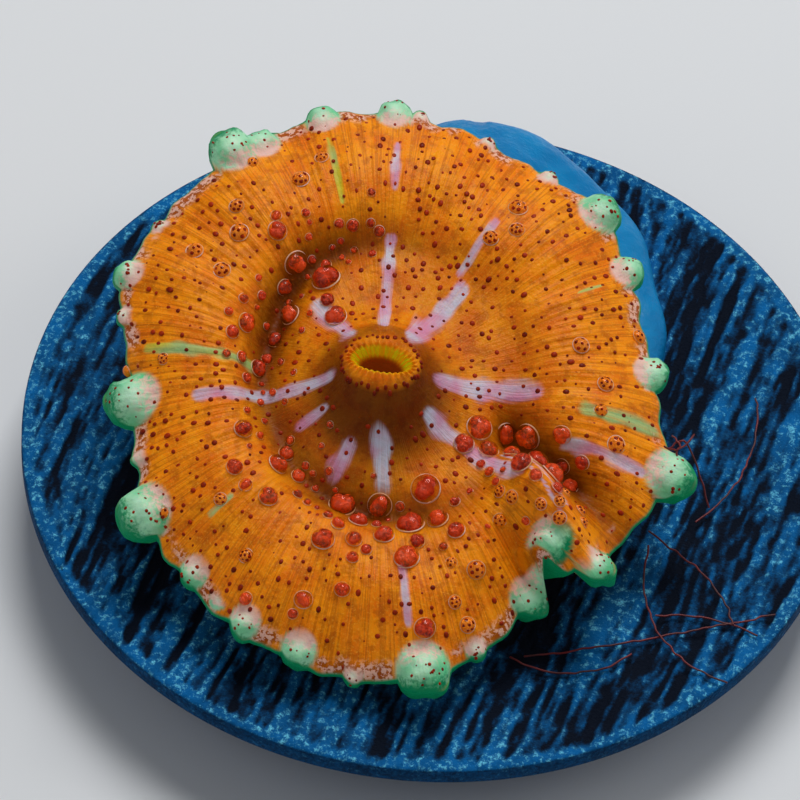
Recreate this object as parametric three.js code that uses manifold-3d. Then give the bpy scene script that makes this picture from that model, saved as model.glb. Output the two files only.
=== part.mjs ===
// Mushroom coral polyp glued to a round frag disc. Millimetres, +Z up.
// The origin is the middle of the disc's underside.
import * as THREE from 'three';
import { mergeVertices } from 'three/addons/utils/BufferGeometryUtils.js';
import Module from 'manifold-3d';

const wasm = await Module();
wasm.setup();

// ---- Driving dimensions: frag disc ----
const DISC_RADIUS = 16;
const DISC_THICKNESS = 4;
const DISC_FOOT_RADIUS = 12.8;   // flat underside, inside the bevel
const DISC_LAND_BASE = 3.2;      // height at which the bevel meets the upright rim
const DISC_CHAMFER = 0.15;
const DISC_SIDES = 84;

// ---- Driving dimensions: polyp ----
// The oral disc leans towards -Y. Its own frame has its origin on the mouth's axis.
const LEAN = THREE.MathUtils.degToRad(16);
const MOUTH_AXIS = new THREE.Vector3(-2.2, -1.6, DISC_THICKNESS + 4.6);
const NOMINAL_RADIUS = 11.2;     // radius that the section below is drawn at
const POLYP_SIDES = 64;
const BLEND_START = 3.5;         // inside this the rings are round, outside they follow the rim
const BLEND_END = 7;

// Foot of the stalk, level on its seat in the glue.
const SEAT = DISC_THICKNESS + 0.8;
const FOOT_CENTRE = new THREE.Vector2(-1.8, 0.4);
const FOOT_RADIUS = 5;
const FOOT_DEPTH = -3.4;         // section height that stands for the seat
const STALK_TOP = -2.1;          // section height where the lean starts to fade
const STALK_BASE = -3.1;         // section height where the stalk is upright

// Section of the polyp: [radius, height] from the throat over the rim to the foot.
const SECTION = [
  [0, 1.0], [0.55, 1.1], [0.95, 2.1], [1.35, 2.85], [1.75, 2.7], [2.1, 2.1], [2.6, 1.4],
  [3.3, 0.85], [4.2, 0.45], [4.9, 0.35], [5.6, 0.75], [6.5, 1.15], [7.6, 1.3], [8.8, 1.15],
  [9.9, 0.75], [10.7, 0.3], [11.1, 0.0], [11.2, -0.3], [11.0, -0.6], [10, -0.8],
  [8.5, -0.95], [7, -1.2], [6.2, -1.6], [5.6, STALK_TOP], [5.35, -2.7], [5.3, STALK_BASE],
  [FOOT_RADIUS, FOOT_DEPTH], [2.5, FOOT_DEPTH], [0, FOOT_DEPTH],
];

// Rim of the oral disc: [bearing in degrees, radius].
const RIM = [
  [8, 10.6], [32, 11.1], [45, 11.6], [75, 11.5], [92, 11.9], [106, 12], [124, 11.6],
  [145, 11.2], [158, 11.1], [173, 10], [187, 9.7], [202, 10], [214, 10.7], [231, 10.9],
  [246, 11.4], [260, 11.7], [282, 12], [296, 11.3], [309, 10.8], [322, 11.2], [334, 11.4],
  [347, 11.9],
];

// Notch in the rim where the fold meets it: depth at the edge, half width in degrees, and
// the nominal radius at which it starts.
const NOTCH = { bearing: 314.5, depth: 1.6, width: 5, from: 9 };

// The mouth is wider than it is deep, and the cone round it soon turns round.
const MOUTH_SQUASH = 0.3;
const MOUTH_REACH = 3.2;

// The fold on the right front: a ridge, the valley behind it and the crease in front.
const RIDGE = { bearing: 331, at: 6, drift: -2.4, from: 5, full: 8, height: 1.5, width: 1.3 };
const VALLEY = { bearing: 342, at: 5.4, drift: -2.2, from: 4.5, full: 6, height: -1, width: 1.3 };
const CREASE = { bearing: 313.5, at: 8, drift: 0, from: 7, full: 9.5, height: -1.2, width: 0.9 };

// Knobs on the rim: [bearing, distance in from the rim, diameter, lift].
const KNOBS = [
  [8, 0.1, 1.4, 0], [32, 0.1, 1.4, 0], [45, 0, 1.6, 0], [58, 0, 1.0, 0], [72, 0, 0.9, 0],
  [90, 0.1, 1.4, 0], [105, 0.1, 1.4, 0], [124, 0, 1.8, 0], [145, 0.1, 0.9, 0],
  [158, 0.1, 1.2, 0], [167, 0, 0.9, 0], [187, 0.2, 2.0, 0.1], [202, 0.1, 0.8, 0],
  [214, 0.1, 2.0, 0], [231, 0.1, 1.2, 0], [239, 0.1, 0.8, 0], [246, 0.1, 1.2, 0],
  [258, 0.1, 1.4, 0], [269, 0.1, 0.9, 0], [282, 0, 1.9, 0.1], [293, 0.1, 0.9, 0],
  [309, 0.1, 1.5, 0], [317, 0.9, 1.9, 0.9], [321, 0.1, 1.6, 0], [347, 0.1, 1.9, 0],
];

// The largest bladders on the oral disc: [bearing, radius out, diameter].
const BLADDERS = [
  [270, 5.3, 1.15], [253, 5.5, 0.8], [274, 6.9, 0.8], [325, 6.3, 1.05], [319, 7.5, 0.8],
  [331, 8.6, 0.9], [301, 5.2, 0.85], [205, 4.3, 0.8], [178, 3.9, 0.8], [150, 4.6, 0.8],
  [134, 4.1, 1.0], [122, 5.4, 0.9], [117, 6.2, 0.8], [236, 7.6, 0.8],
];

// ---- Driving dimensions: glue pad ----
const GLUE_CENTRE = new THREE.Vector2(-0.2, 4.6);
const GLUE_SIDES = 48;
const GLUE_RINGS = 12;
const GLUE_EDGE_POWER = 3.2;     // how square the edge of the lump is
const SEAT_MARGIN = 0.6;         // flat kept round the foot
const SEAT_RAMP = 2.2;           // length of the slope from the seat to the shoulder
// Outline and height of the lump: [bearing, radius, height].
const GLUE = [
  [0, 9, 1.8], [30, 9.5, 2.1], [44, 10.1, 2.5], [60, 10.2, 3.3], [75, 10.7, 4], [95, 10, 3.6],
  [130, 8.2, 2.4], [155, 6.8, 1.6], [190, 7.6, 1], [225, 9, 0.9], [270, 10.6, 0.8],
  [315, 9.6, 1.1],
];

// ---- Helpers ----

// Reads a closed table of [bearing, value, ...] rows, eased between neighbouring rows.
function around(table, degrees, column = 1) {
  const bearing = THREE.MathUtils.euclideanModulo(degrees, 360);
  const next = table.findIndex((row) => row[0] > bearing);
  const after = table[next < 0 ? 0 : next];
  const before = table[next <= 0 ? table.length - 1 : next - 1];
  const span = THREE.MathUtils.euclideanModulo(after[0] - before[0], 360);
  const along = THREE.MathUtils.euclideanModulo(bearing - before[0], 360) / span;
  const eased = THREE.MathUtils.smoothstep(along, 0, 1);
  return THREE.MathUtils.lerp(before[column], after[column], eased);
}

// Merges the shared vertices and drops the slivers that a pole leaves.
function weld(geometry) {
  geometry.deleteAttribute('normal');
  geometry.deleteAttribute('uv');
  const merged = mergeVertices(geometry);
  const index = merged.getIndex().array;
  const kept = [];
  for (let i = 0; i < index.length; i += 3) {
    const [a, b, c] = index.slice(i, i + 3);
    if (a !== b && b !== c && c !== a) kept.push(a, b, c);
  }
  merged.setIndex(kept);
  return merged;
}

function toSolid(geometry) {
  const merged = weld(geometry);
  return new wasm.Manifold(new wasm.Mesh({
    numProp: 3,
    vertProperties: Float32Array.from(merged.getAttribute('position').array),
    triVerts: Uint32Array.from(merged.getIndex().array),
  }));
}

function toGeometry(solid) {
  const { vertProperties, triVerts } = solid.getMesh();
  const geometry = new THREE.BufferGeometry();
  geometry.setAttribute('position', new THREE.BufferAttribute(vertProperties, 3));
  geometry.setIndex(new THREE.BufferAttribute(triVerts, 1));
  geometry.computeVertexNormals();
  return geometry;
}

// Turns a section about +Z, bottom to top being outward.
function turn(section, sides) {
  const points = section.map(([radius, height]) => new THREE.Vector2(radius, height));
  return new THREE.LatheGeometry(points, sides).rotateX(Math.PI / 2);
}

// Moves every vertex of a turned shape; move gets its radius, bearing and height.
function reshape(geometry, move) {
  const position = geometry.getAttribute('position');
  for (let i = 0; i < position.count; i += 1) {
    const radius = Math.hypot(position.getX(i), position.getY(i));
    const bearing = THREE.MathUtils.radToDeg(Math.atan2(position.getY(i), position.getX(i)));
    position.setXYZ(i, ...move(radius, bearing, position.getZ(i)));
  }
  return geometry;
}

function named(name, geometry, colour, roughness) {
  const material = new THREE.MeshStandardMaterial({ color: colour, roughness, metalness: 0 });
  const mesh = new THREE.Mesh(geometry, material);
  mesh.name = name;
  return mesh;
}

// ---- Polyp ----

// Signed turn from one bearing to another, between -180 and 180 degrees.
function turnBetween(from, to) {
  return THREE.MathUtils.euclideanModulo(to - from + 180, 360) - 180;
}

// Real radius on the leaning oral disc of a ring drawn at the nominal radius.
function ringRadius(nominal, bearing) {
  const followed = nominal * around(RIM, bearing) / NOMINAL_RADIUS;
  const share = THREE.MathUtils.smoothstep(nominal, BLEND_START, BLEND_END);
  const off = turnBetween(NOTCH.bearing, bearing) / NOTCH.width;
  const cut = NOTCH.depth * THREE.MathUtils.smoothstep(nominal, NOTCH.from, NOMINAL_RADIUS);
  return THREE.MathUtils.lerp(nominal, followed, share) - cut * Math.exp(-off * off);
}

// Height that one fold adds at a place on the oral disc.
function foldHeight(fold, radius, bearing) {
  const middle = fold.bearing + fold.drift * (radius - fold.at);
  const across = THREE.MathUtils.degToRad(turnBetween(middle, bearing)) * radius / fold.width;
  const grown = THREE.MathUtils.smoothstep(radius, fold.from, fold.full);
  return fold.height * grown * Math.exp(-across * across);
}

// A point of the leaning oral disc, from its own radius, bearing and height.
function leaningPoint(radius, bearing, height) {
  const angle = THREE.MathUtils.degToRad(bearing);
  const point = new THREE.Vector3(radius * Math.cos(angle), radius * Math.sin(angle), height);
  return point.applyAxisAngle(new THREE.Vector3(1, 0, 0), LEAN).add(MOUTH_AXIS);
}

// A point of the upright foot.
function footPoint(radius, bearing, height) {
  const angle = THREE.MathUtils.degToRad(bearing);
  const x = FOOT_CENTRE.x + radius * Math.cos(angle);
  const y = FOOT_CENTRE.y + radius * Math.sin(angle);
  return new THREE.Vector3(x, y, SEAT + height - FOOT_DEPTH);
}

function polypPoint(nominal, bearing, height) {
  const radius = ringRadius(nominal, bearing);
  const folds = [RIDGE, VALLEY, CREASE].reduce((sum, f) => sum + foldHeight(f, radius, bearing), 0);
  const leaning = leaningPoint(radius, bearing, height + folds);
  const squash = 1 - MOUTH_SQUASH * (1 - THREE.MathUtils.smoothstep(radius, 0, MOUTH_REACH));
  leaning.y = MOUTH_AXIS.y + (leaning.y - MOUTH_AXIS.y) * squash;
  const upright = 1 - THREE.MathUtils.smoothstep(height, STALK_BASE, STALK_TOP);
  return leaning.lerp(footPoint(nominal, bearing, height), upright);
}

// Height of the oral disc's skin at a real radius, read from the outer part of the section.
function skinHeight(radius, bearing) {
  const scale = radius / ringRadius(radius, bearing);
  const nominal = Math.min(radius * scale, NOMINAL_RADIUS);
  const next = Math.max(1, SECTION.findIndex(([r]) => r >= nominal));
  const [r0, h0] = SECTION[next - 1];
  const [r1, h1] = SECTION[next];
  const height = THREE.MathUtils.mapLinear(nominal, r0, r1, h0, h1);
  return [RIDGE, VALLEY, CREASE].reduce((sum, f) => sum + foldHeight(f, radius, bearing), height);
}

function ball(diameter, centre) {
  const geometry = new THREE.IcosahedronGeometry(diameter / 2, 1);
  return toSolid(geometry.translate(centre.x, centre.y, centre.z));
}

function rimKnob([bearing, inset, diameter, lift]) {
  const radius = around(RIM, bearing) - inset;
  const folds = foldHeight(RIDGE, radius, bearing);
  return ball(diameter, leaningPoint(radius, bearing, lift + folds / 2));
}

function bladder([bearing, radius, diameter]) {
  return ball(diameter, leaningPoint(radius, bearing, skinHeight(radius, bearing)));
}

function buildPolyp() {
  const outside = [...SECTION].reverse();
  let solid = toSolid(reshape(turn(outside, POLYP_SIDES), (radius, bearing, height) => {
    return polypPoint(radius, bearing, height).toArray();
  }));
  for (const knob of KNOBS) solid = solid.add(rimKnob(knob));
  for (const row of BLADDERS) solid = solid.add(bladder(row));
  return named('polyp', toGeometry(solid), 0xe07a08, 0.5);
}

// ---- Glue pad ----

// Share of the lump's full height at a distance from the foot: none on the seat.
function shoulder(x, y) {
  const reach = Math.hypot(x - FOOT_CENTRE.x, y - FOOT_CENTRE.y) - FOOT_RADIUS - SEAT_MARGIN;
  return THREE.MathUtils.smoothstep(reach, 0, SEAT_RAMP);
}

function gluePoint(share, bearing) {
  const angle = THREE.MathUtils.degToRad(bearing);
  const radius = share * around(GLUE, bearing);
  const x = GLUE_CENTRE.x + radius * Math.cos(angle);
  const y = GLUE_CENTRE.y + radius * Math.sin(angle);
  const crown = (1 - share ** GLUE_EDGE_POWER) ** (1 / GLUE_EDGE_POWER);
  const seat = SEAT - DISC_THICKNESS;
  const rise = shoulder(x, y) * Math.max(0, around(GLUE, bearing, 2) - seat);
  return [x, y, DISC_THICKNESS + (seat + rise) * crown];
}

// The section is a drum one unit high: its base lies on the disc and its lid is the skin.
function buildGluePad() {
  const section = [[0, 0], [1, 0]];
  for (let ring = GLUE_RINGS - 1; ring >= 0; ring -= 1) {
    section.push([Math.sin(ring / GLUE_RINGS * Math.PI / 2), 1]);
  }
  const lump = reshape(turn(section, GLUE_SIDES), (share, bearing, height) => {
    const [x, y, z] = gluePoint(Math.min(share, 1), bearing);
    return [x, y, height > 0.5 ? z : DISC_THICKNESS];
  });
  return named('glue_pad', toGeometry(toSolid(lump)), 0x0a82d2, 0.35);
}

// ---- Frag disc ----

function buildFragDisc() {
  const section = [
    [0, 0], [DISC_FOOT_RADIUS, 0], [DISC_RADIUS, DISC_LAND_BASE],
    [DISC_RADIUS, DISC_THICKNESS - DISC_CHAMFER], [DISC_RADIUS - DISC_CHAMFER, DISC_THICKNESS],
    [0, DISC_THICKNESS],
  ];
  return named('frag_disc', toGeometry(toSolid(turn(section, DISC_SIDES))), 0x0c3a6e, 0.75);
}

const group = new THREE.Group();
group.add(buildFragDisc(), buildGluePad(), buildPolyp());

export default group;
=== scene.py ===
"""A mushroom coral polyp glued to its round frag disc.

Sizes inside the classes are in millimetres. Each finished mesh is scaled to metres, so that it
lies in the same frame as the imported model. The polyp is drawn in a leaning frame of its own:
bearings are in degrees anticlockwise from +X and radii are measured from the mouth's axis.
"""

import logging
import math
from dataclasses import dataclass
from enum import Enum
from functools import cached_property
from typing import Iterable, Sequence

import bmesh
import bpy
import numpy as np
from mathutils import Matrix, Vector


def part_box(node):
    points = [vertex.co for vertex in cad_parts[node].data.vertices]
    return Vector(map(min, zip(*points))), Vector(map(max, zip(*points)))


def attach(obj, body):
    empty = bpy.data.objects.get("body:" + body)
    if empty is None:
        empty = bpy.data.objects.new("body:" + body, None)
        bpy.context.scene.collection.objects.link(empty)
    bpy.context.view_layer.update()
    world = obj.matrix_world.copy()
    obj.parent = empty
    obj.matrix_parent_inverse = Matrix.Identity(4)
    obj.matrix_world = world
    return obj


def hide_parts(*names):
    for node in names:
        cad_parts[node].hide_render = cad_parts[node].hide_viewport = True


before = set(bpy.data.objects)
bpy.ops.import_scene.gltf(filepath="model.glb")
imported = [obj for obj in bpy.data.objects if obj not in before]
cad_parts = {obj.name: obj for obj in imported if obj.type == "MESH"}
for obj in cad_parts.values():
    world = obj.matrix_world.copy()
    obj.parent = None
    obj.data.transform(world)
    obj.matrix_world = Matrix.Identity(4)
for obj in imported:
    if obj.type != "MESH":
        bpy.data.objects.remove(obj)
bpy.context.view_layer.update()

log = logging.getLogger("mushroom_coral")

MM = 0.001
BODY = "root"

Row = tuple[float, ...]
Colour = tuple[float, float, float]


# ---------------------------------------------------------------- numbers and shapes


def srgb(red: int, green: int, blue: int) -> Colour:
    """Turns an everyday 0 to 255 colour into the linear one that shaders use.

    Args:
        red: Red, 0 to 255.
        green: Green, 0 to 255.
        blue: Blue, 0 to 255.

    Returns:
        The linear red, green and blue.
    """
    def linear(level: int) -> float:
        """Undoes the display curve for one channel."""
        share = level / 255
        return share / 12.92 if share <= 0.04045 else ((share + 0.055) / 1.055) ** 2.4

    return linear(red), linear(green), linear(blue)


def ease(value: np.ndarray, low: float, high: float) -> np.ndarray:
    """Eases from 0 at low to 1 at high, in either direction.

    Args:
        value: The values to ease.
        low: Where the result is 0.
        high: Where the result is 1.

    Returns:
        An array between 0 and 1.
    """
    share = np.clip((value - low) / (high - low), 0.0, 1.0)
    return share * share * (3.0 - 2.0 * share)


def turn_between(start: np.ndarray, end: np.ndarray) -> np.ndarray:
    """Signed turn in degrees from one bearing to another, between -180 and 180."""
    return np.mod(end - start + 180.0, 360.0) - 180.0


def around(table: Sequence[Row], bearing: np.ndarray, column: int = 1) -> np.ndarray:
    """Reads a closed table of (bearing, value, ...) rows along a smooth curve.

    Args:
        table: Rows in rising order of bearing.
        bearing: Bearings to read at, in degrees.
        column: Which value of the rows to read.

    Returns:
        The value at each bearing.
    """
    rows = np.array(table, dtype=float)
    stops, values = rows[:, 0], rows[:, column]
    count = len(stops)
    wanted = np.mod(bearing, 360.0)
    after = np.searchsorted(stops, wanted, side="right") % count
    before = (after - 1) % count
    span = np.mod(stops[after] - stops[before], 360.0)
    t = np.mod(wanted - stops[before], 360.0) / span
    p0, p1 = values[(before - 1) % count], values[before]
    p2, p3 = values[after], values[(after + 1) % count]
    return p1 + 0.5 * t * (p2 - p0 + t * (2 * p0 - 5 * p1 + 4 * p2 - p3 + t * (3 * (p1 - p2) + p3 - p0)))


def smooth_path(points: Sequence[Row], steps: Sequence[int]) -> np.ndarray:
    """Runs a smooth curve through points in a plane.

    Args:
        points: The points.
        steps: How many pieces each stretch between two points is cut into.

    Returns:
        The points of the curve, one row each.
    """
    spots = np.array(points, dtype=float)
    padded = np.vstack([2 * spots[0] - spots[1], spots, 2 * spots[-1] - spots[-2]])
    path = []
    for i, count in enumerate(steps):
        p0, p1, p2, p3 = padded[i:i + 4]
        for t in np.arange(count) / count:
            bend = 2 * p0 - 5 * p1 + 4 * p2 - p3 + t * (3 * (p1 - p2) + p3 - p0)
            path.append(p1 + 0.5 * t * (p2 - p0 + t * bend))
    return np.array(path + [spots[-1]])


def value_noise(x: np.ndarray, y: np.ndarray, seed: int) -> np.ndarray:
    """Smooth noise over a plane with one lump per unit, the same on every run.

    Args:
        x: First coordinates.
        y: Second coordinates.
        seed: Picks one of many patterns.

    Returns:
        Values between -1 and 1.
    """
    lattice = np.random.default_rng(seed).uniform(-1.0, 1.0, (256, 256))
    column, row = np.floor(x).astype(int), np.floor(y).astype(int)
    u, v = ease(x - column, 0.0, 1.0), ease(y - row, 0.0, 1.0)
    near = lattice[column % 256, row % 256] * (1 - u) + lattice[(column + 1) % 256, row % 256] * u
    far = (lattice[column % 256, (row + 1) % 256] * (1 - u)
           + lattice[(column + 1) % 256, (row + 1) % 256] * u)
    return near * (1 - v) + far * v


def random_source(seed: int) -> np.random.Generator:
    """Gives a source of chance that runs the same way every time."""
    return np.random.default_rng(seed)


def coordinates(mesh: bpy.types.Mesh) -> np.ndarray:
    """Gives a mesh's vertices as an array with one row each.

    Args:
        mesh: The mesh to read.

    Returns:
        Rows of x, y, z.
    """
    flat = np.empty(len(mesh.vertices) * 3)
    mesh.vertices.foreach_get("co", flat)
    return flat.reshape(-1, 3)


def set_coordinates(mesh: bpy.types.Mesh, spots: np.ndarray) -> None:
    """Moves a mesh's vertices to the rows of an array."""
    mesh.vertices.foreach_set("co", np.ascontiguousarray(spots, dtype=np.float32).ravel())
    mesh.update()


def paint(mesh: bpy.types.Mesh, name: str, values: np.ndarray) -> None:
    """Stores one number per vertex for a material to read.

    Args:
        mesh: The mesh.
        name: The attribute's name.
        values: One value per vertex.
    """
    layer = mesh.attributes.new(name, "FLOAT", "POINT")
    layer.data.foreach_set("value", np.ascontiguousarray(values, dtype=np.float32))


def finished(name: str, mesh: bpy.types.Mesh, finish: "Finish", replaced: str | None) -> bpy.types.Object:
    """Turns a mesh in millimetres into a piece of the part.

    Args:
        name: The piece's name.
        mesh: Its mesh, still in millimetres.
        finish: The finish that it wears.
        replaced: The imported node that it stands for, if any.

    Returns:
        The new object.
    """
    mesh.name = name
    mesh.transform(Matrix.Scale(MM, 4))
    mesh.shade_smooth()
    piece = bpy.data.objects.new(name, mesh)
    bpy.context.scene.collection.objects.link(piece)
    mesh.materials.append(finish.material())
    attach(piece, BODY)
    if replaced:
        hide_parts(replaced)
    log.info("%s: %d faces", name, len(mesh.polygons))
    return piece


def mesh_of(work: bmesh.types.BMesh) -> bpy.types.Mesh:
    """Writes a bmesh into a new mesh and frees it.

    Args:
        work: The bmesh, which can't be used afterwards.

    Returns:
        The new mesh.
    """
    mesh = bpy.data.meshes.new("work")
    work.to_mesh(mesh)
    work.free()
    return mesh


def spun(section: np.ndarray, sides: int) -> bpy.types.Mesh:
    """Spins an open section whose ends lie on the axis into a closed mesh.

    Each vertex keeps how far along the section it came from, as the attribute "along".

    Args:
        section: Rows of radius and height, from one end on the axis to the other.
        sides: Number of columns.

    Returns:
        The mesh, about +Z.
    """
    work = bmesh.new()
    along = work.verts.layers.float.new("along")
    line = [work.verts.new((radius, 0.0, height)) for radius, height in section]
    for number, vertex in enumerate(line):
        vertex[along] = number
    edges = [work.edges.new(pair) for pair in zip(line, line[1:])]
    bmesh.ops.spin(work, geom=line + edges, cent=(0, 0, 0), axis=(0, 0, 1), dvec=(0, 0, 0),
                   angle=math.tau, steps=sides, use_merge=True, use_duplicate=False)
    poles = [v for v in work.verts if v.co.xy.length < 1e-6]
    bmesh.ops.remove_doubles(work, verts=poles, dist=1e-5)
    bmesh.ops.recalc_face_normals(work, faces=work.faces)
    return mesh_of(work)


def column_values(mesh: bpy.types.Mesh, name: str) -> np.ndarray:
    """Reads one number per vertex from a mesh.

    Args:
        mesh: The mesh to read.
        name: Name of the attribute.

    Returns:
        The number of each vertex.
    """
    values = np.empty(len(mesh.vertices), dtype=np.float32)
    mesh.attributes[name].data.foreach_get("value", values)
    return values.astype(float)


class Stamp:
    """Joins many copies of small shapes into one mesh, each with its own tint."""

    def __init__(self) -> None:
        """Starts an empty mesh."""
        self.work = bmesh.new()

    def add(self, shape: bpy.types.Mesh, place: Matrix, tint: float) -> None:
        """Adds one copy.

        Args:
            shape: The shape to copy.
            place: Where it goes, with its size.
            tint: A number that the material reads.
        """
        copy = shape.copy()
        copy.transform(place)
        paint(copy, "tint", np.full(len(copy.vertices), tint))
        self.work.from_mesh(copy)
        bpy.data.meshes.remove(copy)

    def mesh(self) -> bpy.types.Mesh:
        """Ends the work and gives the joined mesh."""
        return mesh_of(self.work)


def lumpy_ball(detail: int, lumps: float, depth: float, seed: int) -> bpy.types.Mesh:
    """Makes a ball of radius 1 with soft lumps.

    Args:
        detail: Icosphere subdivisions.
        lumps: Lumps per unit of length.
        depth: How far they stand out.
        seed: Picks the pattern.

    Returns:
        The mesh.
    """
    work = bmesh.new()
    bmesh.ops.create_icosphere(work, subdivisions=detail, radius=1.0)
    mesh = mesh_of(work)
    spots = coordinates(mesh)
    swell = value_noise(spots[:, 0] * lumps + 9, spots[:, 1] * lumps + 9, seed)
    swell += value_noise(spots[:, 2] * lumps + 5, spots[:, 0] * lumps + 3, seed + 1)
    set_coordinates(mesh, spots * (1.0 + 0.5 * depth * swell)[:, None])
    return mesh


def lobed_ball(detail: int, lobes: int, seed: int) -> bpy.types.Mesh:
    """Makes a cluster of balls run together, about 1 in radius.

    Args:
        detail: Icosphere subdivisions.
        lobes: How many balls run together.
        seed: Picks where they lie.

    Returns:
        The mesh.
    """
    mesh = lumpy_ball(detail, 2.0, 0.08, seed)
    spots = coordinates(mesh)
    heading = spots / np.linalg.norm(spots, axis=1)[:, None]
    chance = np.random.default_rng(seed)
    reach = np.full(len(spots), 0.6)
    start = chance.uniform(0, math.tau)
    for number in range(lobes):
        turn = start + math.tau * number / lobes + chance.uniform(-0.3, 0.3)
        rise = chance.uniform(-0.05, 0.5)
        middle = np.array([math.cos(turn), math.sin(turn), rise]) * 0.42
        size = chance.uniform(0.46, 0.58)
        along = heading @ middle
        inside = size ** 2 - middle @ middle + along ** 2
        reach = np.maximum(reach, np.where(inside > 0, along + np.sqrt(np.maximum(inside, 0)), 0))
    set_coordinates(mesh, heading * (reach * np.linalg.norm(spots, axis=1))[:, None])
    return mesh


def small_bead() -> bpy.types.Mesh:
    """Makes a ball of radius 1 with few faces, for shapes that are repeated hundreds of times.

    Returns:
        The mesh.
    """
    work = bmesh.new()
    bmesh.ops.create_uvsphere(work, u_segments=8, v_segments=5, radius=1.0)
    return mesh_of(work)


def collar_ring() -> bpy.types.Mesh:
    """Makes a thin ring of radius 1 in the XY plane.

    Returns:
        The mesh.
    """
    work = bmesh.new()
    bmesh.ops.create_circle(work, segments=6, radius=0.065,
                            matrix=Matrix.Translation((1, 0, 0)) @ Matrix.Rotation(math.pi / 2, 4, "X"))
    bmesh.ops.spin(work, geom=work.verts[:] + work.edges[:], cent=(0, 0, 0), axis=(0, 0, 1),
                   dvec=(0, 0, 0), angle=math.tau, steps=24, use_merge=True, use_duplicate=False)
    bmesh.ops.recalc_face_normals(work, faces=work.faces)
    return mesh_of(work)


# ---------------------------------------------------------------- shader building


class Graph:
    """Short ways to add and join the nodes of a material or a node group."""

    def __init__(self, tree: bpy.types.NodeTree) -> None:
        """Works on a node tree.

        Args:
            tree: The tree to add to.
        """
        self.tree = tree

    def node(self, kind: str, **settings: object) -> bpy.types.Node:
        """Adds a node and sets its properties.

        Args:
            kind: The node's type.
            **settings: Properties to set on it.

        Returns:
            The new node.
        """
        made = self.tree.nodes.new(kind)
        for name, value in settings.items():
            setattr(made, name, value)
        return made

    def feed(self, socket: bpy.types.NodeSocket, value: object) -> None:
        """Joins another node's output to a socket, or sets the socket's own value.

        Args:
            socket: The input to fill.
            value: An output to join, or a plain value.
        """
        if isinstance(value, bpy.types.NodeSocket):
            self.tree.links.new(value, socket)
        elif socket.type == "RGBA" and len(value) == 3:
            socket.default_value = (*value, 1.0)
        else:
            socket.default_value = value

    def math(self, operation: str, first: object, second: object = 0.0,
             clamp: bool = False) -> bpy.types.NodeSocket:
        """Adds a Math node and gives its output.

        Args:
            operation: What the node works out.
            first: First input.
            second: Second input.
            clamp: Whether the result is kept between 0 and 1.

        Returns:
            The result.
        """
        made = self.node("ShaderNodeMath", operation=operation, use_clamp=clamp)
        self.feed(made.inputs[0], first)
        self.feed(made.inputs[1], second)
        return made.outputs[0]

    def vector(self, operation: str, first: object, second: object = None,
               scale: object = None) -> bpy.types.NodeSocket:
        """Adds a Vector Math node and gives its vector output.

        Args:
            operation: What the node works out.
            first: First vector.
            second: Second vector, if any.
            scale: Scale input, if any.

        Returns:
            The resulting vector.
        """
        made = self.node("ShaderNodeVectorMath", operation=operation)
        self.feed(made.inputs[0], first)
        if second is not None:
            self.feed(made.inputs[1], second)
        if scale is not None:
            self.feed(made.inputs["Scale"], scale)
        return made.outputs["Vector"]

    def mix(self, share: object, first: object, second: object,
            blend: str = "MIX") -> bpy.types.NodeSocket:
        """Mixes two colours and gives the result.

        Args:
            share: 0 for the first colour, 1 for the second.
            first: First colour.
            second: Second colour.
            blend: How the colours are blended.

        Returns:
            The mixed colour.
        """
        made = self.node("ShaderNodeMix", data_type="RGBA", blend_type=blend, clamp_factor=True)
        self.feed(made.inputs[0], share)
        self.feed(made.inputs[6], first)
        self.feed(made.inputs[7], second)
        return made.outputs[2]

    def spread(self, value: object, low: float, high: float, to_low: float = 0.0,
               to_high: float = 1.0) -> bpy.types.NodeSocket:
        """Maps a range onto another with eased ends.

        Args:
            value: The value to map.
            low: Start of the range read.
            high: End of the range read.
            to_low: Result at low.
            to_high: Result at high.

        Returns:
            The mapped value.
        """
        made = self.node("ShaderNodeMapRange", interpolation_type="SMOOTHSTEP")
        for socket, number in zip(made.inputs[:5], (value, low, high, to_low, to_high)):
            self.feed(socket, number)
        return made.outputs[0]

    def noise(self, place: object, scale: float, detail: float = 2.0,
              roughness: float = 0.5) -> bpy.types.NodeSocket:
        """Adds a noise pattern and gives its value.

        Args:
            place: Where the pattern is read.
            scale: Its fineness.
            detail: How many finer layers it has.
            roughness: How strong the finer layers are.

        Returns:
            The pattern's value.
        """
        made = self.node("ShaderNodeTexNoise", noise_dimensions="3D")
        self.feed(made.inputs["Vector"], place)
        made.inputs["Scale"].default_value = scale
        made.inputs["Detail"].default_value = detail
        made.inputs["Roughness"].default_value = roughness
        return made.outputs["Fac"]

    def attribute(self, name: str) -> bpy.types.NodeSocket:
        """Reads a number stored on the mesh."""
        return self.node("ShaderNodeAttribute", attribute_name=name).outputs["Fac"]

    def bump(self, height: object, strength: float, distance: float) -> bpy.types.NodeSocket:
        """Turns a height into a normal; distance is in metres.

        Args:
            height: The height to follow.
            strength: Share of the effect that shows.
            distance: Height of the relief, in metres.

        Returns:
            The bent normal.
        """
        made = self.node("ShaderNodeBump")
        made.inputs["Strength"].default_value = strength
        made.inputs["Distance"].default_value = distance
        self.feed(made.inputs["Height"], height)
        return made.outputs["Normal"]

    def group(self, tree: bpy.types.NodeTree, **inputs: object) -> bpy.types.Node:
        """Places a node group and feeds its inputs, whose names have spaces for underscores.

        Args:
            tree: The node group.
            **inputs: Values of its inputs.

        Returns:
            The placed group.
        """
        made = self.node("ShaderNodeGroup")
        made.node_tree = tree
        for name, value in inputs.items():
            self.feed(made.inputs[name.replace("_", " ")], value)
        return made


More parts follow.
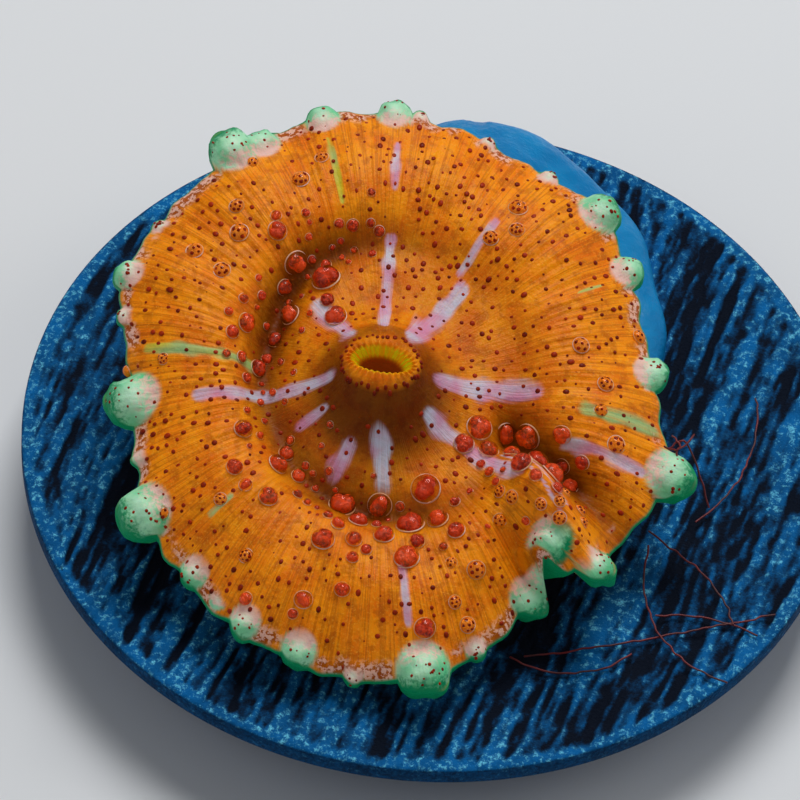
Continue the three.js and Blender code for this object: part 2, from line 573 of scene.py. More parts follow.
def new_group(name: str, inputs: dict[str, str], outputs: dict[str, str],
              ) -> tuple[bpy.types.NodeTree, Graph, bpy.types.Node, bpy.types.Node]:
    """Starts a node group.

    Args:
        name: The group's name.
        inputs: Socket name to socket type.
        outputs: Socket name to socket type.

    Returns:
        The tree, its graph, its input node and its output node.
    """
    tree = bpy.data.node_groups.new(name, "ShaderNodeTree")
    for label, kind in inputs.items():
        tree.interface.new_socket(label, in_out="INPUT", socket_type=kind)
    for label, kind in outputs.items():
        tree.interface.new_socket(label, in_out="OUTPUT", socket_type=kind)
    graph = Graph(tree)
    return tree, graph, graph.node("NodeGroupInput"), graph.node("NodeGroupOutput")


def mottle_group() -> bpy.types.NodeTree:
    """Gives the group of two sizes of soft noise that every finish uses, built once.

    Returns:
        The node group.
    """
    name = "soft mottle"
    if name in bpy.data.node_groups:
        return bpy.data.node_groups[name]
    tree, graph, entry, leave = new_group(
        name, {"Place": "NodeSocketVector", "Fineness": "NodeSocketFloat"},
        {"Broad": "NodeSocketFloat", "Fine": "NodeSocketFloat"})
    place = graph.vector("SCALE", entry.outputs["Place"], scale=entry.outputs["Fineness"])
    graph.feed(leave.inputs["Broad"], graph.spread(graph.noise(place, 1.0, 2.0), 0.3, 0.7))
    graph.feed(leave.inputs["Fine"], graph.spread(graph.noise(place, 6.0, 3.0, 0.6), 0.3, 0.7))
    return tree


def radial_group() -> bpy.types.NodeTree:
    """Gives the group that turns a place on the polyp into radial streaks, built once.

    Returns:
        The node group.
    """
    name = "radial streaks"
    if name in bpy.data.node_groups:
        return bpy.data.node_groups[name]
    tree, graph, entry, leave = new_group(
        name, {"Place": "NodeSocketVector"},
        {"Radius": "NodeSocketFloat", "Broad": "NodeSocketFloat", "Ribs": "NodeSocketFloat",
         "Threads": "NodeSocketFloat"})
    split = graph.node("ShaderNodeSeparateXYZ")
    graph.feed(split.inputs[0], entry.outputs["Place"])
    flat = graph.node("ShaderNodeCombineXYZ")
    graph.feed(flat.inputs[0], split.outputs[0])
    graph.feed(flat.inputs[1], split.outputs[1])
    length = graph.node("ShaderNodeVectorMath", operation="LENGTH")
    graph.feed(length.inputs[0], flat.outputs[0])
    radius = length.outputs["Value"]
    heading = graph.vector("NORMALIZE", flat.outputs[0])
    rise = graph.node("ShaderNodeCombineXYZ")
    graph.feed(rise.inputs[2], graph.math("MULTIPLY", radius, 0.35))
    for label, fineness, detail in (("Broad", 6.0, 2.0), ("Ribs", 60.0, 1.0), ("Threads", 115.0, 1.0)):
        place = graph.vector("ADD", graph.vector("SCALE", heading, scale=fineness), rise.outputs[0])
        graph.feed(leave.inputs[label], graph.spread(graph.noise(place, 1.0, detail), 0.32, 0.68))
    graph.feed(leave.inputs["Radius"], radius)
    return tree


class Finish:
    """A material that is made the first time it is asked for."""

    name = "finish"

    def material(self) -> bpy.types.Material:
        """Gives the material, making it once.

        Returns:
            The material.
        """
        if self.name in bpy.data.materials:
            return bpy.data.materials[self.name]
        made = bpy.data.materials.new(self.name)
        made.use_nodes = True
        graph = Graph(made.node_tree)
        shader = made.node_tree.nodes["Principled BSDF"]
        self.dress(graph, shader)
        return made

    def dress(self, graph: Graph, shader: bpy.types.Node) -> None:
        """Fills in the shader; each finish has its own."""
        raise NotImplementedError

    @staticmethod
    def millimetres(graph: Graph) -> bpy.types.NodeSocket:
        """Gives the object's coordinates in millimetres."""
        place = graph.node("ShaderNodeTexCoord").outputs["Object"]
        return graph.vector("SCALE", place, scale=1.0 / MM)


class Hue:
    """The colours of the part, as linear values."""

    ORANGE = srgb(232, 112, 4)
    AMBER = srgb(250, 150, 8)
    HONEY = srgb(255, 196, 70)
    OCHRE = srgb(160, 72, 2)
    UMBER = srgb(70, 16, 0)
    LILAC = srgb(206, 140, 178)
    ICE = srgb(196, 206, 226)
    LIME = srgb(190, 200, 40)
    JADE = srgb(110, 200, 140)
    TEAL = srgb(10, 140, 88)
    MINT = srgb(92, 196, 136)
    BLUSH = srgb(228, 186, 172)
    FROST = srgb(212, 244, 216)
    LIP = srgb(205, 220, 20)
    RUST = srgb(205, 52, 4)
    CRIMSON = srgb(140, 22, 4)
    EMBER = srgb(240, 84, 6)
    COPPER = srgb(150, 62, 8)
    GLUE = srgb(0, 118, 180)
    GLUE_PALE = srgb(14, 150, 210)
    NAVY = srgb(1, 12, 30)
    AZURE = srgb(2, 104, 172)
    CYAN = srgb(110, 208, 240)
    THREAD = srgb(120, 14, 14)
    PALE = srgb(232, 234, 236)


@dataclass(frozen=True)
class TissueFinish(Finish):
    """Skin of the polyp: orange with radial streaks, pale and green stripes and a green rim, with painted
    shade, painted highlights on the knobs and a painted glow.
    """

    axis: Row
    lean: float
    glow: float = 0.12
    name: str = "glowing skin"

    def dress(self, graph: Graph, shader: bpy.types.Node) -> None:
        """Mixes the skin's colours from streaks and from the masks painted on the mesh.

        Args:
            graph: The material's graph.
            shader: The shader to fill in.
        """
        leaning = graph.node("ShaderNodeMapping", vector_type="TEXTURE")
        graph.feed(leaning.inputs["Vector"], graph.node("ShaderNodeTexCoord").outputs["Object"])
        leaning.inputs["Location"].default_value = [value * MM for value in self.axis]
        leaning.inputs["Rotation"].default_value = (self.lean, 0.0, 0.0)
        leaning.inputs["Scale"].default_value = (MM, MM, MM)
        place = leaning.outputs["Vector"]
        radial = graph.group(radial_group(), Place=place)
        mottle = graph.group(mottle_group(), Place=place, Fineness=0.9)
        ribs, threads = radial.outputs["Ribs"], radial.outputs["Threads"]
        outward = graph.spread(radial.outputs["Radius"], 3.5, 9.0)

        skin = graph.mix(mottle.outputs["Broad"], Hue.ORANGE, Hue.AMBER)
        skin = graph.mix(graph.math("MULTIPLY", radial.outputs["Broad"], 0.14), skin, Hue.OCHRE)
        skin = graph.mix(graph.math("MULTIPLY", ribs, graph.math("MULTIPLY", outward, 0.45)),
                         skin, Hue.AMBER)
        dark = graph.math("MULTIPLY", graph.spread(threads, 0.5, 0.95),
                          graph.math("MULTIPLY", outward, 0.38))
        skin = graph.mix(dark, skin, Hue.OCHRE)
        cloud = graph.group(mottle_group(), Place=place, Fineness=2.2)
        skin = graph.mix(graph.math("MULTIPLY", graph.spread(cloud.outputs["Broad"], 0.5, 1.0), 0.4),
                         skin, Hue.OCHRE)
        skin = graph.mix(graph.math("MULTIPLY", graph.spread(cloud.outputs["Fine"], 0.7, 1.0), 0.25),
                         skin, Hue.HONEY)
        # Painted shade: the shade mask darkens the skin towards umber.
        shade = graph.math("MULTIPLY", graph.attribute("shade"), 0.85)
        skin = graph.mix(shade, skin, Hue.UMBER)

        fibrous = graph.math("MULTIPLY_ADD", ribs, 0.5, clamp=False)
        fibrous.node.inputs[2].default_value = 0.7
        pale = graph.math("MULTIPLY", graph.attribute("pale"), fibrous)
        lilac = graph.mix(mottle.outputs["Broad"], Hue.LILAC, Hue.ICE)
        skin = graph.mix(graph.spread(pale, 0.1, 0.9, 0.0, 0.8), skin, lilac)
        green = graph.math("MULTIPLY", graph.attribute("green"), fibrous)
        leaf = graph.mix(radial.outputs["Broad"], Hue.LIME, Hue.JADE)
        skin = graph.mix(graph.spread(green, 0.1, 0.9, 0.0, 0.7), skin, leaf)

        blotch = graph.spread(mottle.outputs["Fine"], 0.35, 0.65)
        frill = graph.mix(blotch, Hue.COPPER, Hue.BLUSH)
        skin = graph.mix(graph.math("MULTIPLY", graph.attribute("frill"), 0.8), skin, frill)
        knob = graph.attribute("knob")
        outer = graph.math("ADD", graph.attribute("outer"),
                           graph.spread(mottle.outputs["Fine"], 0.0, 1.0, -0.22, 0.22))
        bulb = graph.mix(graph.math("MULTIPLY", mottle.outputs["Broad"], 0.5), Hue.MINT, Hue.FROST)
        bulb = graph.mix(graph.spread(outer, 0.1, 0.95), bulb, Hue.TEAL)
        bulb = graph.mix(graph.spread(outer, -0.2, -0.9), bulb, Hue.BLUSH)
        # Painted highlight: whitish on the top of each knob's dome.
        bulb = graph.mix(graph.math("MULTIPLY", graph.attribute("crown"), 0.55), bulb, Hue.FROST)
        skin = graph.mix(knob, skin, bulb)
        skin = graph.mix(graph.attribute("rim"), skin, Hue.TEAL)
        lip = graph.mix(graph.spread(threads, 0.3, 0.7), Hue.LIP, Hue.AMBER)
        skin = graph.mix(graph.attribute("lip"), skin, lip)
        skin = graph.mix(graph.attribute("throat"), skin, Hue.COPPER)

        graph.feed(shader.inputs["Base Color"], skin)
        # Painted glow: the skin emits its own colour, so it glows though it is no lamp.
        graph.feed(shader.inputs["Emission Color"], skin)
        shader.inputs["Emission Strength"].default_value = self.glow
        shader.inputs["Subsurface Weight"].default_value = 0.2
        shader.inputs["Subsurface Radius"].default_value = (1.0, 0.4, 0.15)
        shader.inputs["Subsurface Scale"].default_value = 0.0004
        shader.inputs["Roughness"].default_value = 0.42
        shader.inputs["Specular IOR Level"].default_value = 0.12
        height = graph.math("ADD", graph.math("MULTIPLY", ribs, 0.7), mottle.outputs["Fine"])
        graph.feed(shader.inputs["Normal"], graph.bump(height, 0.5, 0.00003))


@dataclass(frozen=True)
class BladderSkinFinish(Finish):
    """The thin clear skin of a bladder."""

    name: str = "clear bladder skin"

    def dress(self, graph: Graph, shader: bpy.types.Node) -> None:
        """Makes a see-through, slightly amber skin with a soft gloss.

        Args:
            graph: The material's graph.
            shader: The shader to fill in.
        """
        mottle = graph.group(mottle_group(), Place=self.millimetres(graph), Fineness=3.0)
        tint = graph.mix(mottle.outputs["Broad"], srgb(255, 214, 170), srgb(255, 236, 222))
        graph.feed(shader.inputs["Base Color"], tint)
        graph.feed(shader.inputs["Roughness"],
                   graph.spread(mottle.outputs["Fine"], 0.0, 1.0, 0.04, 0.16))
        shader.inputs["Transmission Weight"].default_value = 1.0
        shader.inputs["IOR"].default_value = 1.25


@dataclass(frozen=True)
class CoreFinish(Finish):
    """The red and orange filling of a bladder, with a painted glow."""

    glow: float = 0.12
    name: str = "bladder filling"

    def dress(self, graph: Graph, shader: bpy.types.Node) -> None:
        """Mottles crimson, rust and orange, shifted from one bladder to the next.

        Args:
            graph: The material's graph.
            shader: The shader to fill in.
        """
        mottle = graph.group(mottle_group(), Place=self.millimetres(graph), Fineness=1.6)
        tint = graph.attribute("tint")
        deep = graph.mix(graph.spread(tint, 0.1, 0.9), Hue.CRIMSON, Hue.COPPER)
        bright = graph.mix(tint, Hue.RUST, Hue.EMBER)
        share = graph.math("ADD", graph.math("MULTIPLY", mottle.outputs["Broad"], 0.55),
                           graph.math("MULTIPLY", mottle.outputs["Fine"], 0.45))
        colour = graph.mix(graph.spread(share, 0.1, 0.6), deep, bright)
        colour = graph.mix(graph.spread(tint, 1.1, 1.5), colour, Hue.AMBER)
        graph.feed(shader.inputs["Base Color"], colour)
        # Painted glow: the filling emits its own colour, so it glows though it is no lamp.
        graph.feed(shader.inputs["Emission Color"], colour)
        shader.inputs["Emission Strength"].default_value = self.glow
        shader.inputs["Roughness"].default_value = 0.45
        graph.feed(shader.inputs["Normal"], graph.bump(mottle.outputs["Fine"], 0.6, 0.00003))


@dataclass(frozen=True)
class CollarFinish(Finish):
    """The pale edge where a bladder's skin meets the disc."""

    name: str = "pale collar"

    def dress(self, graph: Graph, shader: bpy.types.Node) -> None:
        """Varies the edge from pale pink to amber.

        Args:
            graph: The material's graph.
            shader: The shader to fill in.
        """
        mottle = graph.group(mottle_group(), Place=self.millimetres(graph), Fineness=1.5)
        colour = graph.mix(mottle.outputs["Broad"], srgb(238, 206, 190), srgb(226, 158, 70))
        graph.feed(shader.inputs["Base Color"], colour)
        graph.feed(shader.inputs["Roughness"],
                   graph.spread(mottle.outputs["Fine"], 0.0, 1.0, 0.3, 0.5))


@dataclass(frozen=True)
class DotFinish(Finish):
    """Tiny dark red-brown bladders."""

    name: str = "dark dot"

    def dress(self, graph: Graph, shader: bpy.types.Node) -> None:
        """Varies the dots from near black to rust.

        Args:
            graph: The material's graph.
            shader: The shader to fill in.
        """
        mottle = graph.group(mottle_group(), Place=self.millimetres(graph), Fineness=5.0)
        colour = graph.mix(graph.attribute("tint"), srgb(96, 20, 1), srgb(172, 46, 1))
        colour = graph.mix(graph.math("MULTIPLY", mottle.outputs["Broad"], 0.3), colour, Hue.RUST)
        graph.feed(shader.inputs["Base Color"], colour)
        shader.inputs["Specular IOR Level"].default_value = 0.15
        shader.inputs["Roughness"].default_value = 0.35


@dataclass(frozen=True)
class GlueFinish(Finish):
    """Cured gel glue: bright blue, smooth, a little cloudy."""

    name: str = "cloudy gel"

    def dress(self, graph: Graph, shader: bpy.types.Node) -> None:
        """Clouds the blue and roughens it a little.

        Args:
            graph: The material's graph.
            shader: The shader to fill in.
        """
        place = self.millimetres(graph)
        mottle = graph.group(mottle_group(), Place=place, Fineness=0.5)
        colour = graph.mix(graph.math("MULTIPLY", mottle.outputs["Broad"], 0.5), Hue.GLUE, Hue.GLUE_PALE)
        grit = graph.spread(graph.noise(place, 5.0, 2.0), 0.62, 0.8)
        colour = graph.mix(graph.math("MULTIPLY", grit, 0.6), colour, Hue.AZURE)
        graph.feed(shader.inputs["Base Color"], colour)
        graph.feed(shader.inputs["Roughness"],
                   graph.spread(mottle.outputs["Fine"], 0.0, 1.0, 0.35, 0.55))
        shader.inputs["Specular IOR Level"].default_value = 0.2
        graph.feed(shader.inputs["Normal"], graph.bump(mottle.outputs["Fine"], 0.35, 0.00006))


@dataclass(frozen=True)
class CeramicFinish(Finish):
    """Scored blue ceramic: painted shade makes the grooves navy, painted highlights make the ridges azure
    and add bright cyan glints.
    """

    name: str = "scored ceramic"

    def dress(self, graph: Graph, shader: bpy.types.Node) -> None:
        """Colours the ridges and grooves from the relief painted on the mesh as painted highlight and shade,
        and strews painted glints.

        Args:
            graph: The material's graph.
            shader: The shader to fill in.
        """
        place = self.millimetres(graph)
        mottle = graph.group(mottle_group(), Place=place, Fineness=0.7)
        grain = graph.noise(place, 6.5, 3.0, 0.75)
        ridge = graph.math("ADD", graph.attribute("ridge"), graph.math("MULTIPLY", grain, 0.5))
        # Painted shade and highlight: navy in the grooves and azure on the ridges, from the relief height.
        colour = graph.mix(graph.spread(ridge, 0.5, 1.1), Hue.NAVY, Hue.AZURE)
        colour = graph.mix(graph.math("MULTIPLY", mottle.outputs["Broad"], 0.35), colour, Hue.NAVY)
        # Painted glints: cyan specks, only on the ridges.
        ridge_glints = graph.math("MULTIPLY", graph.spread(graph.noise(place, 3.6, 4.0, 0.8), 0.5, 0.68),
                           graph.spread(ridge, 0.7, 1.1))
        colour = graph.mix(ridge_glints, colour, Hue.CYAN)
        graph.feed(shader.inputs["Base Color"], colour)
        shader.inputs["Roughness"].default_value = 0.8
        shader.inputs["Specular IOR Level"].default_value = 0.12
        graph.feed(shader.inputs["Normal"], graph.bump(grain, 0.8, 0.00012))


@dataclass(frozen=True)
class ThreadFinish(Finish):
    """Dark red hair algae."""

    name: str = "red algae"

    def dress(self, graph: Graph, shader: bpy.types.Node) -> None:
        """Varies the red along the threads.

        Args:
            graph: The material's graph.
            shader: The shader to fill in.
        """
        mottle = graph.group(mottle_group(), Place=self.millimetres(graph), Fineness=0.8)
        colour = graph.mix(mottle.outputs["Broad"], Hue.THREAD, srgb(60, 8, 12))
        graph.feed(shader.inputs["Base Color"], colour)
        shader.inputs["Roughness"].default_value = 0.5


@dataclass(frozen=True)
class FloorFinish(Finish):
    """Plain pale floor."""

    name: str = "pale floor"

    def dress(self, graph: Graph, shader: bpy.types.Node) -> None:
        """Sets a plain matt surface."""
        shader.inputs["Base Color"].default_value = (*Hue.PALE, 1.0)
        shader.inputs["Roughness"].default_value = 0.9


# ---------------------------------------------------------------- form of the polyp


@dataclass(frozen=True)
class Fold:
    """A ridge, valley or crease that runs outwards over the oral disc."""

    bearing: float
    at: float
    drift: float
    start: float
    full: float
    height: float
    near: float
    far: float
    fade: float = 0.0

    def share(self, radius: np.ndarray, bearing: np.ndarray) -> np.ndarray:
        """How much of the fold's height applies at each place, 0 to 1.

        Args:
            radius: Real radii from the mouth's axis.
            bearing: Bearings in degrees.

        Returns:
            The share at each place.
        """
        middle = self.bearing + self.drift * (radius - self.at)
        across = np.radians(turn_between(middle, bearing)) * radius
        width = np.where(across < 0, self.near, self.far)
        grown = ease(radius, self.start, self.full) * (1 - self.fade * ease(radius, 7.5, 10.8))
        return grown * np.exp(-(across / width) ** 2)


@dataclass(frozen=True)
class Knob:
    """A lumpy bulb on the rim."""

    bearing: float
    radius: float
    lift: float
    diameter: float

    def offsets(self, radius: np.ndarray, bearing: np.ndarray) -> tuple[np.ndarray, np.ndarray]:
        """How far places lie outwards and sideways from the bulb's middle."""
        turn = np.radians(turn_between(self.bearing, bearing))
        return radius * np.cos(turn) - self.radius, radius * np.sin(turn)

    def level(self, form: "PolypForm") -> float:
        """Height of the bulb's middle above the oral disc's plane."""
        folds = form.folds(np.array([self.radius]), np.array([self.bearing]))
        return float(folds[0]) + self.lift - 0.2

    def dome(self, outwards: np.ndarray, sideways: np.ndarray) -> np.ndarray:
        """Half thickness of the bulb at each offset; 0 outside it.

        Args:
            outwards: Distances outwards from the bulb's middle.
            sideways: Distances sideways from it.

        Returns:
            The half thickness at each offset.
        """
        turn = np.arctan2(sideways, outwards)
        share = np.hypot(outwards, sideways) / self.diameter * 2
        lumps = np.sin(5 * turn + self.bearing) * share ** 2
        lumps = lumps + value_noise(outwards * 2.6 + self.bearing, sideways * 2.6 + 40, 21)
        size = self.diameter / 2 * (1 + 0.07 * lumps)
        return np.sqrt(np.maximum(size ** 2 - outwards ** 2 - sideways ** 2, 0.0))


@dataclass(frozen=True)
class PolypForm:
    """Shape of the polyp, shared by its body and by everything that sits on its skin."""

    axis: Row
    seat: float
    foot_centre: Row
    lean: float = math.radians(16)
    nominal: float = 11.2
    blend_start: float = 3.5
    blend_end: float = 7.0
    foot_depth: float = -3.4
    stalk_top: float = -2.1
    stalk_base: float = -3.1
    # Radius, height and how many pieces the stretch to the next row is cut into.
    section: tuple[Row, ...] = (
        (0, 1.9, 2), (0.35, 1.92, 4), (0.72, 2.1, 6), (0.94, 2.45, 6), (1.08, 2.74, 6),
        (1.24, 2.88, 5), (1.42, 2.8, 5), (1.6, 2.5, 5), (1.88, 1.95, 5), (2.4, 1.4, 5),
        (3.3, 0.9, 6), (4.2, 0.8, 6), (4.9, 0.85, 6), (5.6, 1.0, 7), (6.5, 1.2, 7),
        (7.6, 1.3, 7), (8.8, 1.15, 8), (9.9, 0.75, 9), (10.6, 0.35, 9), (11.0, 0.05, 6),
        (11.2, -0.25, 6), (11.0, -0.5, 7), (10.3, -0.7, 6), (8.5, -0.95, 5), (7.0, -1.2, 4),
        (6.2, -1.6, 3), (5.6, -2.1, 3), (5.35, -2.7, 2), (5.3, -3.1, 2), (5.0, -3.4, 2),
        (2.5, -3.4, 1), (0, -3.4, 0))
    edge_row: int = 20
    rim: tuple[Row, ...] = (
        (8, 10.5), (20, 10.6), (32, 10.9), (45, 11.4), (58, 11.3), (72, 11.4), (91, 11.7),
        (105, 11.8), (124, 11.3), (145, 11.1), (158, 10.9), (167, 10.4), (173, 9.9), (187, 9.5),
        (202, 9.8), (214, 10.4), (231, 10.7), (246, 11.3), (258, 11.5), (269, 11.8), (282, 11.9),
        (293, 11.4), (309, 10.4), (322, 11.0), (334, 11.1), (347, 11.7), (357, 10.9))
    notch_bearing: float = 313.5
    notch_depth: float = 0.8
    notch_width: float = 1.7
    ridge: Fold = Fold(331, 6, -2.4, 4.6, 7.6, 1.6, 1.5, 0.8)
    valley: Fold = Fold(342, 5.4, -2.1, 4.2, 5.6, -1.5, 0.8, 0.9, 0.6)
    crease: Fold = Fold(312.5, 8, 0, 7.2, 9.5, -1.1, 0.7, 0.4)
    # Ring furrow round the mouth: bearing, radius and depth.
    furrow: tuple[Row, ...] = (
        (0, 5.4, 0.2), (45, 5.6, 0.15), (75, 5.8, 0.25), (100, 5.9, 0.6), (122, 5.7, 0.9),
        (146, 5.0, 0.95), (165, 4.6, 0.85), (185, 4.5, 0.6), (212, 4.3, 0.6), (235, 4.7, 0.6),
        (255, 5.0, 0.8), (278, 5.3, 0.75), (300, 5.8, 0.4), (330, 5.6, 0.2))
    furrow_width: float = 0.8
    rib_count: int = 150
    rib_height: float = 0.022
    knobs: tuple[Knob, ...] = (
        Knob(8, 10.5, 0, 1.35), Knob(32, 10.9, 0, 1.3), Knob(45, 11.35, 0, 1.6), Knob(58, 11.2, 0, 0.8),
        Knob(72, 11.3, 0, 0.6), Knob(86, 11.6, 0, 0.6), Knob(91, 11.6, 0, 1.3),
        Knob(105, 11.6, 0, 1.25), Knob(118, 11.2, 0.1, 1.3), Knob(124, 11.4, 0.1, 1.8),
        Knob(145, 10.9, 0, 0.7), Knob(158, 10.8, 0, 1.15), Knob(167, 10.3, 0, 0.7),
        Knob(187, 9.5, 0.1, 1.95), Knob(202, 9.6, 0, 0.6), Knob(214, 10.4, 0.1, 1.95),
        Knob(231, 10.35, 0, 1.1), Knob(239, 10.6, 0, 0.7), Knob(246, 10.95, 0, 1.15),
        Knob(258, 11.15, 0, 1.25), Knob(269, 11.7, 0, 0.7), Knob(282, 11.75, 0.1, 1.9),
        Knob(293, 11.2, 0, 0.8), Knob(308, 10.2, 0, 1.45), Knob(317, 9.4, 0.6, 1.55),
        Knob(321, 11.2, 0, 1.3), Knob(347, 11.65, 0.1, 1.8))

    @cached_property
    def drawn_out(self) -> tuple[np.ndarray, np.ndarray]:
        """Bearings all round, and how far the edge is drawn out there towards the knobs.

        Returns:
            The bearings, and the distance at each.
        """
        bearing = np.arange(0.0, 360.25, 0.25)
        drawn = np.zeros(len(bearing))
        for knob in self.knobs:
            across = np.radians(turn_between(knob.bearing, bearing)) * knob.radius
            half = np.sqrt(np.maximum((0.52 * knob.diameter) ** 2 - across ** 2, 0.0))
            wanted = np.where(half > 0, knob.radius + half - around(self.rim, bearing), 0.0)
            drawn = np.maximum(drawn, wanted)
        return bearing, drawn

    def ring_radius(self, ring: np.ndarray, bearing: np.ndarray) -> np.ndarray:
        """Real radius of a ring that the section draws at another radius.

        Args:
            ring: Radii of the section before the rim is followed.
            bearing: Bearings in degrees.

        Returns:
            The real radii.
        """
        followed = ring * around(self.rim, bearing) / self.nominal
        share = ease(ring, self.blend_start, self.blend_end)
        off = turn_between(self.notch_bearing, bearing) / self.notch_width
        cut = self.notch_depth * ease(ring, 9.3, self.nominal) * np.exp(-off * off)
        wave = 0.07 * np.sin(np.radians(bearing) * 29 + 1.1) + 0.05 * np.sin(np.radians(bearing) * 47)
        lobes = np.interp(np.mod(bearing, 360.0), *self.drawn_out)
        edge = ease(ring, 10.0, self.nominal)
        return ring * (1 - share) + followed * share - cut + (wave + lobes) * edge

    def ring_of(self, radius: np.ndarray, bearing: np.ndarray) -> np.ndarray:
        """Ring that lies at a real radius; the inverse of ring_radius.

        Args:
            radius: Real radii from the mouth's axis.
            bearing: Bearings in degrees.

        Returns:
            Radii of the section.
        """
        ring = np.array(radius, dtype=float)
        for _ in range(12):
            ring = ring + (radius - self.ring_radius(ring, bearing))
        return np.clip(ring, 0, self.nominal)

    def furrow_share(self, radius: np.ndarray, bearing: np.ndarray) -> np.ndarray:
        """Depth of the ring furrow at each place, in millimetres."""
        off = (radius - around(self.furrow, bearing)) / self.furrow_width
        return around(self.furrow, bearing, 2) * np.exp(-off * off)

    def folds(self, radius: np.ndarray, bearing: np.ndarray) -> np.ndarray:
        """Height that the folds and the slow waves of the oral disc add.

        Args:
            radius: Real radii from the mouth's axis.
            bearing: Bearings in degrees.

        Returns:
            The added height at each place.
        """
        rise = sum(f.height * f.share(radius, bearing) for f in (self.ridge, self.valley, self.crease))
        angle = np.radians(bearing)
        swing = 0.16 * np.sin(9 * angle + 0.6) + 0.10 * np.sin(14 * angle + 2.0)
        lumps = 0.10 * value_noise(radius * np.cos(angle) * 0.7 + 20, radius * np.sin(angle) * 0.7 + 20, 3)
        return rise + swing * ease(radius, 6.5, 11.0) + lumps * ease(radius, 2.5, 5.0)

    def leaning(self, radius: np.ndarray, bearing: np.ndarray, height: np.ndarray) -> np.ndarray:
        """Turns leaning coordinates into rows of x, y, z in the part's frame.

        Args:
            radius: Real radii from the mouth's axis.
            bearing: Bearings in degrees.
            height: Heights above the oral disc's plane.

        Returns:
            Rows of x, y, z.
        """
        angle = np.radians(bearing)
        across, along = radius * np.cos(angle), radius * np.sin(angle)
        sine, cosine = math.sin(self.lean), math.cos(self.lean)
        return np.stack([self.axis[0] + across,
                         self.axis[1] + along * cosine - height * sine,
                         self.axis[2] + along * sine + height * cosine], axis=-1)

    def squash(self, ring: np.ndarray, bearing: np.ndarray) -> np.ndarray:
        """How much the mouth is flattened front to back, with a flatter lower lip.

        Args:
            ring: Radii of the section before the rim is followed.
            bearing: Bearings in degrees.

        Returns:
            What is left of the depth, 1 where it isn't flattened.
        """
        upper = 0.5 + 0.5 * np.sin(np.radians(bearing))
        tight = 0.36 + 0.16 * upper
        return tight + (1 - tight) * ease(ring, 1.08, 1.85)

    def place(self, ring: np.ndarray, bearing: np.ndarray, height: np.ndarray) -> np.ndarray:
        """Puts a ring, a bearing and a height above the disc's plane into the part's frame.

        Args:
            ring: Radii of the section before the rim is followed.
            bearing: Bearings in degrees.
            height: Heights above the oral disc's plane.

        Returns:
            Rows of x, y, z.
        """
        radius = self.ring_radius(ring, bearing)
        angle = np.radians(bearing)
        across = radius * np.cos(angle)
        along = radius * np.sin(angle) * self.squash(ring, bearing)
        along = along - 0.08 * across * (1 - ease(ring, 1.0, 1.7))
        turned = np.degrees(np.arctan2(along, across))
        return self.leaning(np.hypot(across, along), turned, height)

    @cached_property
    def rows(self) -> np.ndarray:
        """The smooth section: one row of radius and height for each ring of the body.

        Returns:
            Rows of radius and height.
        """
        points = [(row[0], row[1]) for row in self.section]
        path = smooth_path(points, [row[2] for row in self.section[:-1]])
        path[:, 0] = np.maximum(path[:, 0], 0.0)
        path[[0, -1], 0] = 0.0
        return path

    def edge_index(self) -> int:
        """Number of the ring at the outermost edge."""
        return sum(row[2] for row in self.section[:self.edge_row])

    def top_height(self, ring: np.ndarray) -> np.ndarray:
        """Height of the section's upper side at a ring."""
        top = self.rows[:self.edge_index() + 1]
        return np.interp(ring, np.maximum.accumulate(top[:, 0]), top[:, 1])

    def skin(self, bearing: np.ndarray, radius: np.ndarray, lift: float = 0.0) -> np.ndarray:
        """Points on the upper skin.

        Args:
            bearing: Bearings in degrees.
            radius: Real radii.
            lift: Height above the skin.

        Returns:
            Rows of x, y, z.
        """
        ring = self.ring_of(radius, bearing)
        height = self.top_height(ring) + self.folds(radius, bearing) - self.furrow_share(radius, bearing)
        return self.place(ring, bearing, height + lift)

    def skin_frame(self, bearing: float, radius: float) -> tuple[Vector, Vector, Vector]:
        """Point on the skin, its normal and the outward direction along it.

        Args:
            bearing: Bearing in degrees.
            radius: Real radius.

        Returns:
            The point, its normal and the outward direction.
        """
        step = 0.12
        turn = math.degrees(step / max(radius, 0.3))
        spots = self.skin(np.array([bearing, bearing, bearing + turn]),
                          np.array([radius, radius + step, radius]))
        here, out, round_ = (Vector(spot) for spot in spots)
        outward, sideways = (out - here).normalized(), (round_ - here).normalized()
        return here, outward.cross(sideways).normalized(), outward


@dataclass(frozen=True)
class Stripe:
    """A straight stripe that runs outwards over the oral disc."""

    bearing: float
    inner: float
    outer: float
    width: float

    def row(self) -> Row:
        """Bearing and radius at each end, and the width."""
        return (self.bearing, self.inner, self.bearing, self.outer, self.width)


@dataclass(frozen=True)
class Drift:
    """A patch between two bearings and two radii, with blisters strewn over it by size."""

    start: float
    end: float
    inner: float
    outer: float
    count: int
    largest: float
    smallest: float


def strewn(drifts: Iterable[Drift], seed: int, placed: tuple[Row, ...], tries: int = 150) -> tuple[Row, ...]:
    """Strews blisters over each patch, the largest first and each clear of the others.

    Args:
        drifts: The patches.
        seed: Seed of the places.
        placed: Bearing, radius and diameter of what is there already.
        tries: Places tried for each blister before it is left out.

    Returns:
        Bearing, radius and diameter of each new blister.
    """
    chance = random_source(seed)
    found: list[Row] = []
    for drift in drifts:
        for diameter in np.linspace(drift.largest, drift.smallest, drift.count):
            for _ in range(tries):
                bearing = chance.uniform(drift.start, drift.end) % 360
                radius = chance.uniform(drift.inner, drift.outer)
                here = radius * np.exp(1j * math.radians(bearing))
                if all(abs(here - r * np.exp(1j * math.radians(b))) > 0.52 * (d + diameter)
                       for b, r, d in (*placed, *found)):
                    found.append((bearing, radius, float(diameter)))
                    break
    return tuple(found)


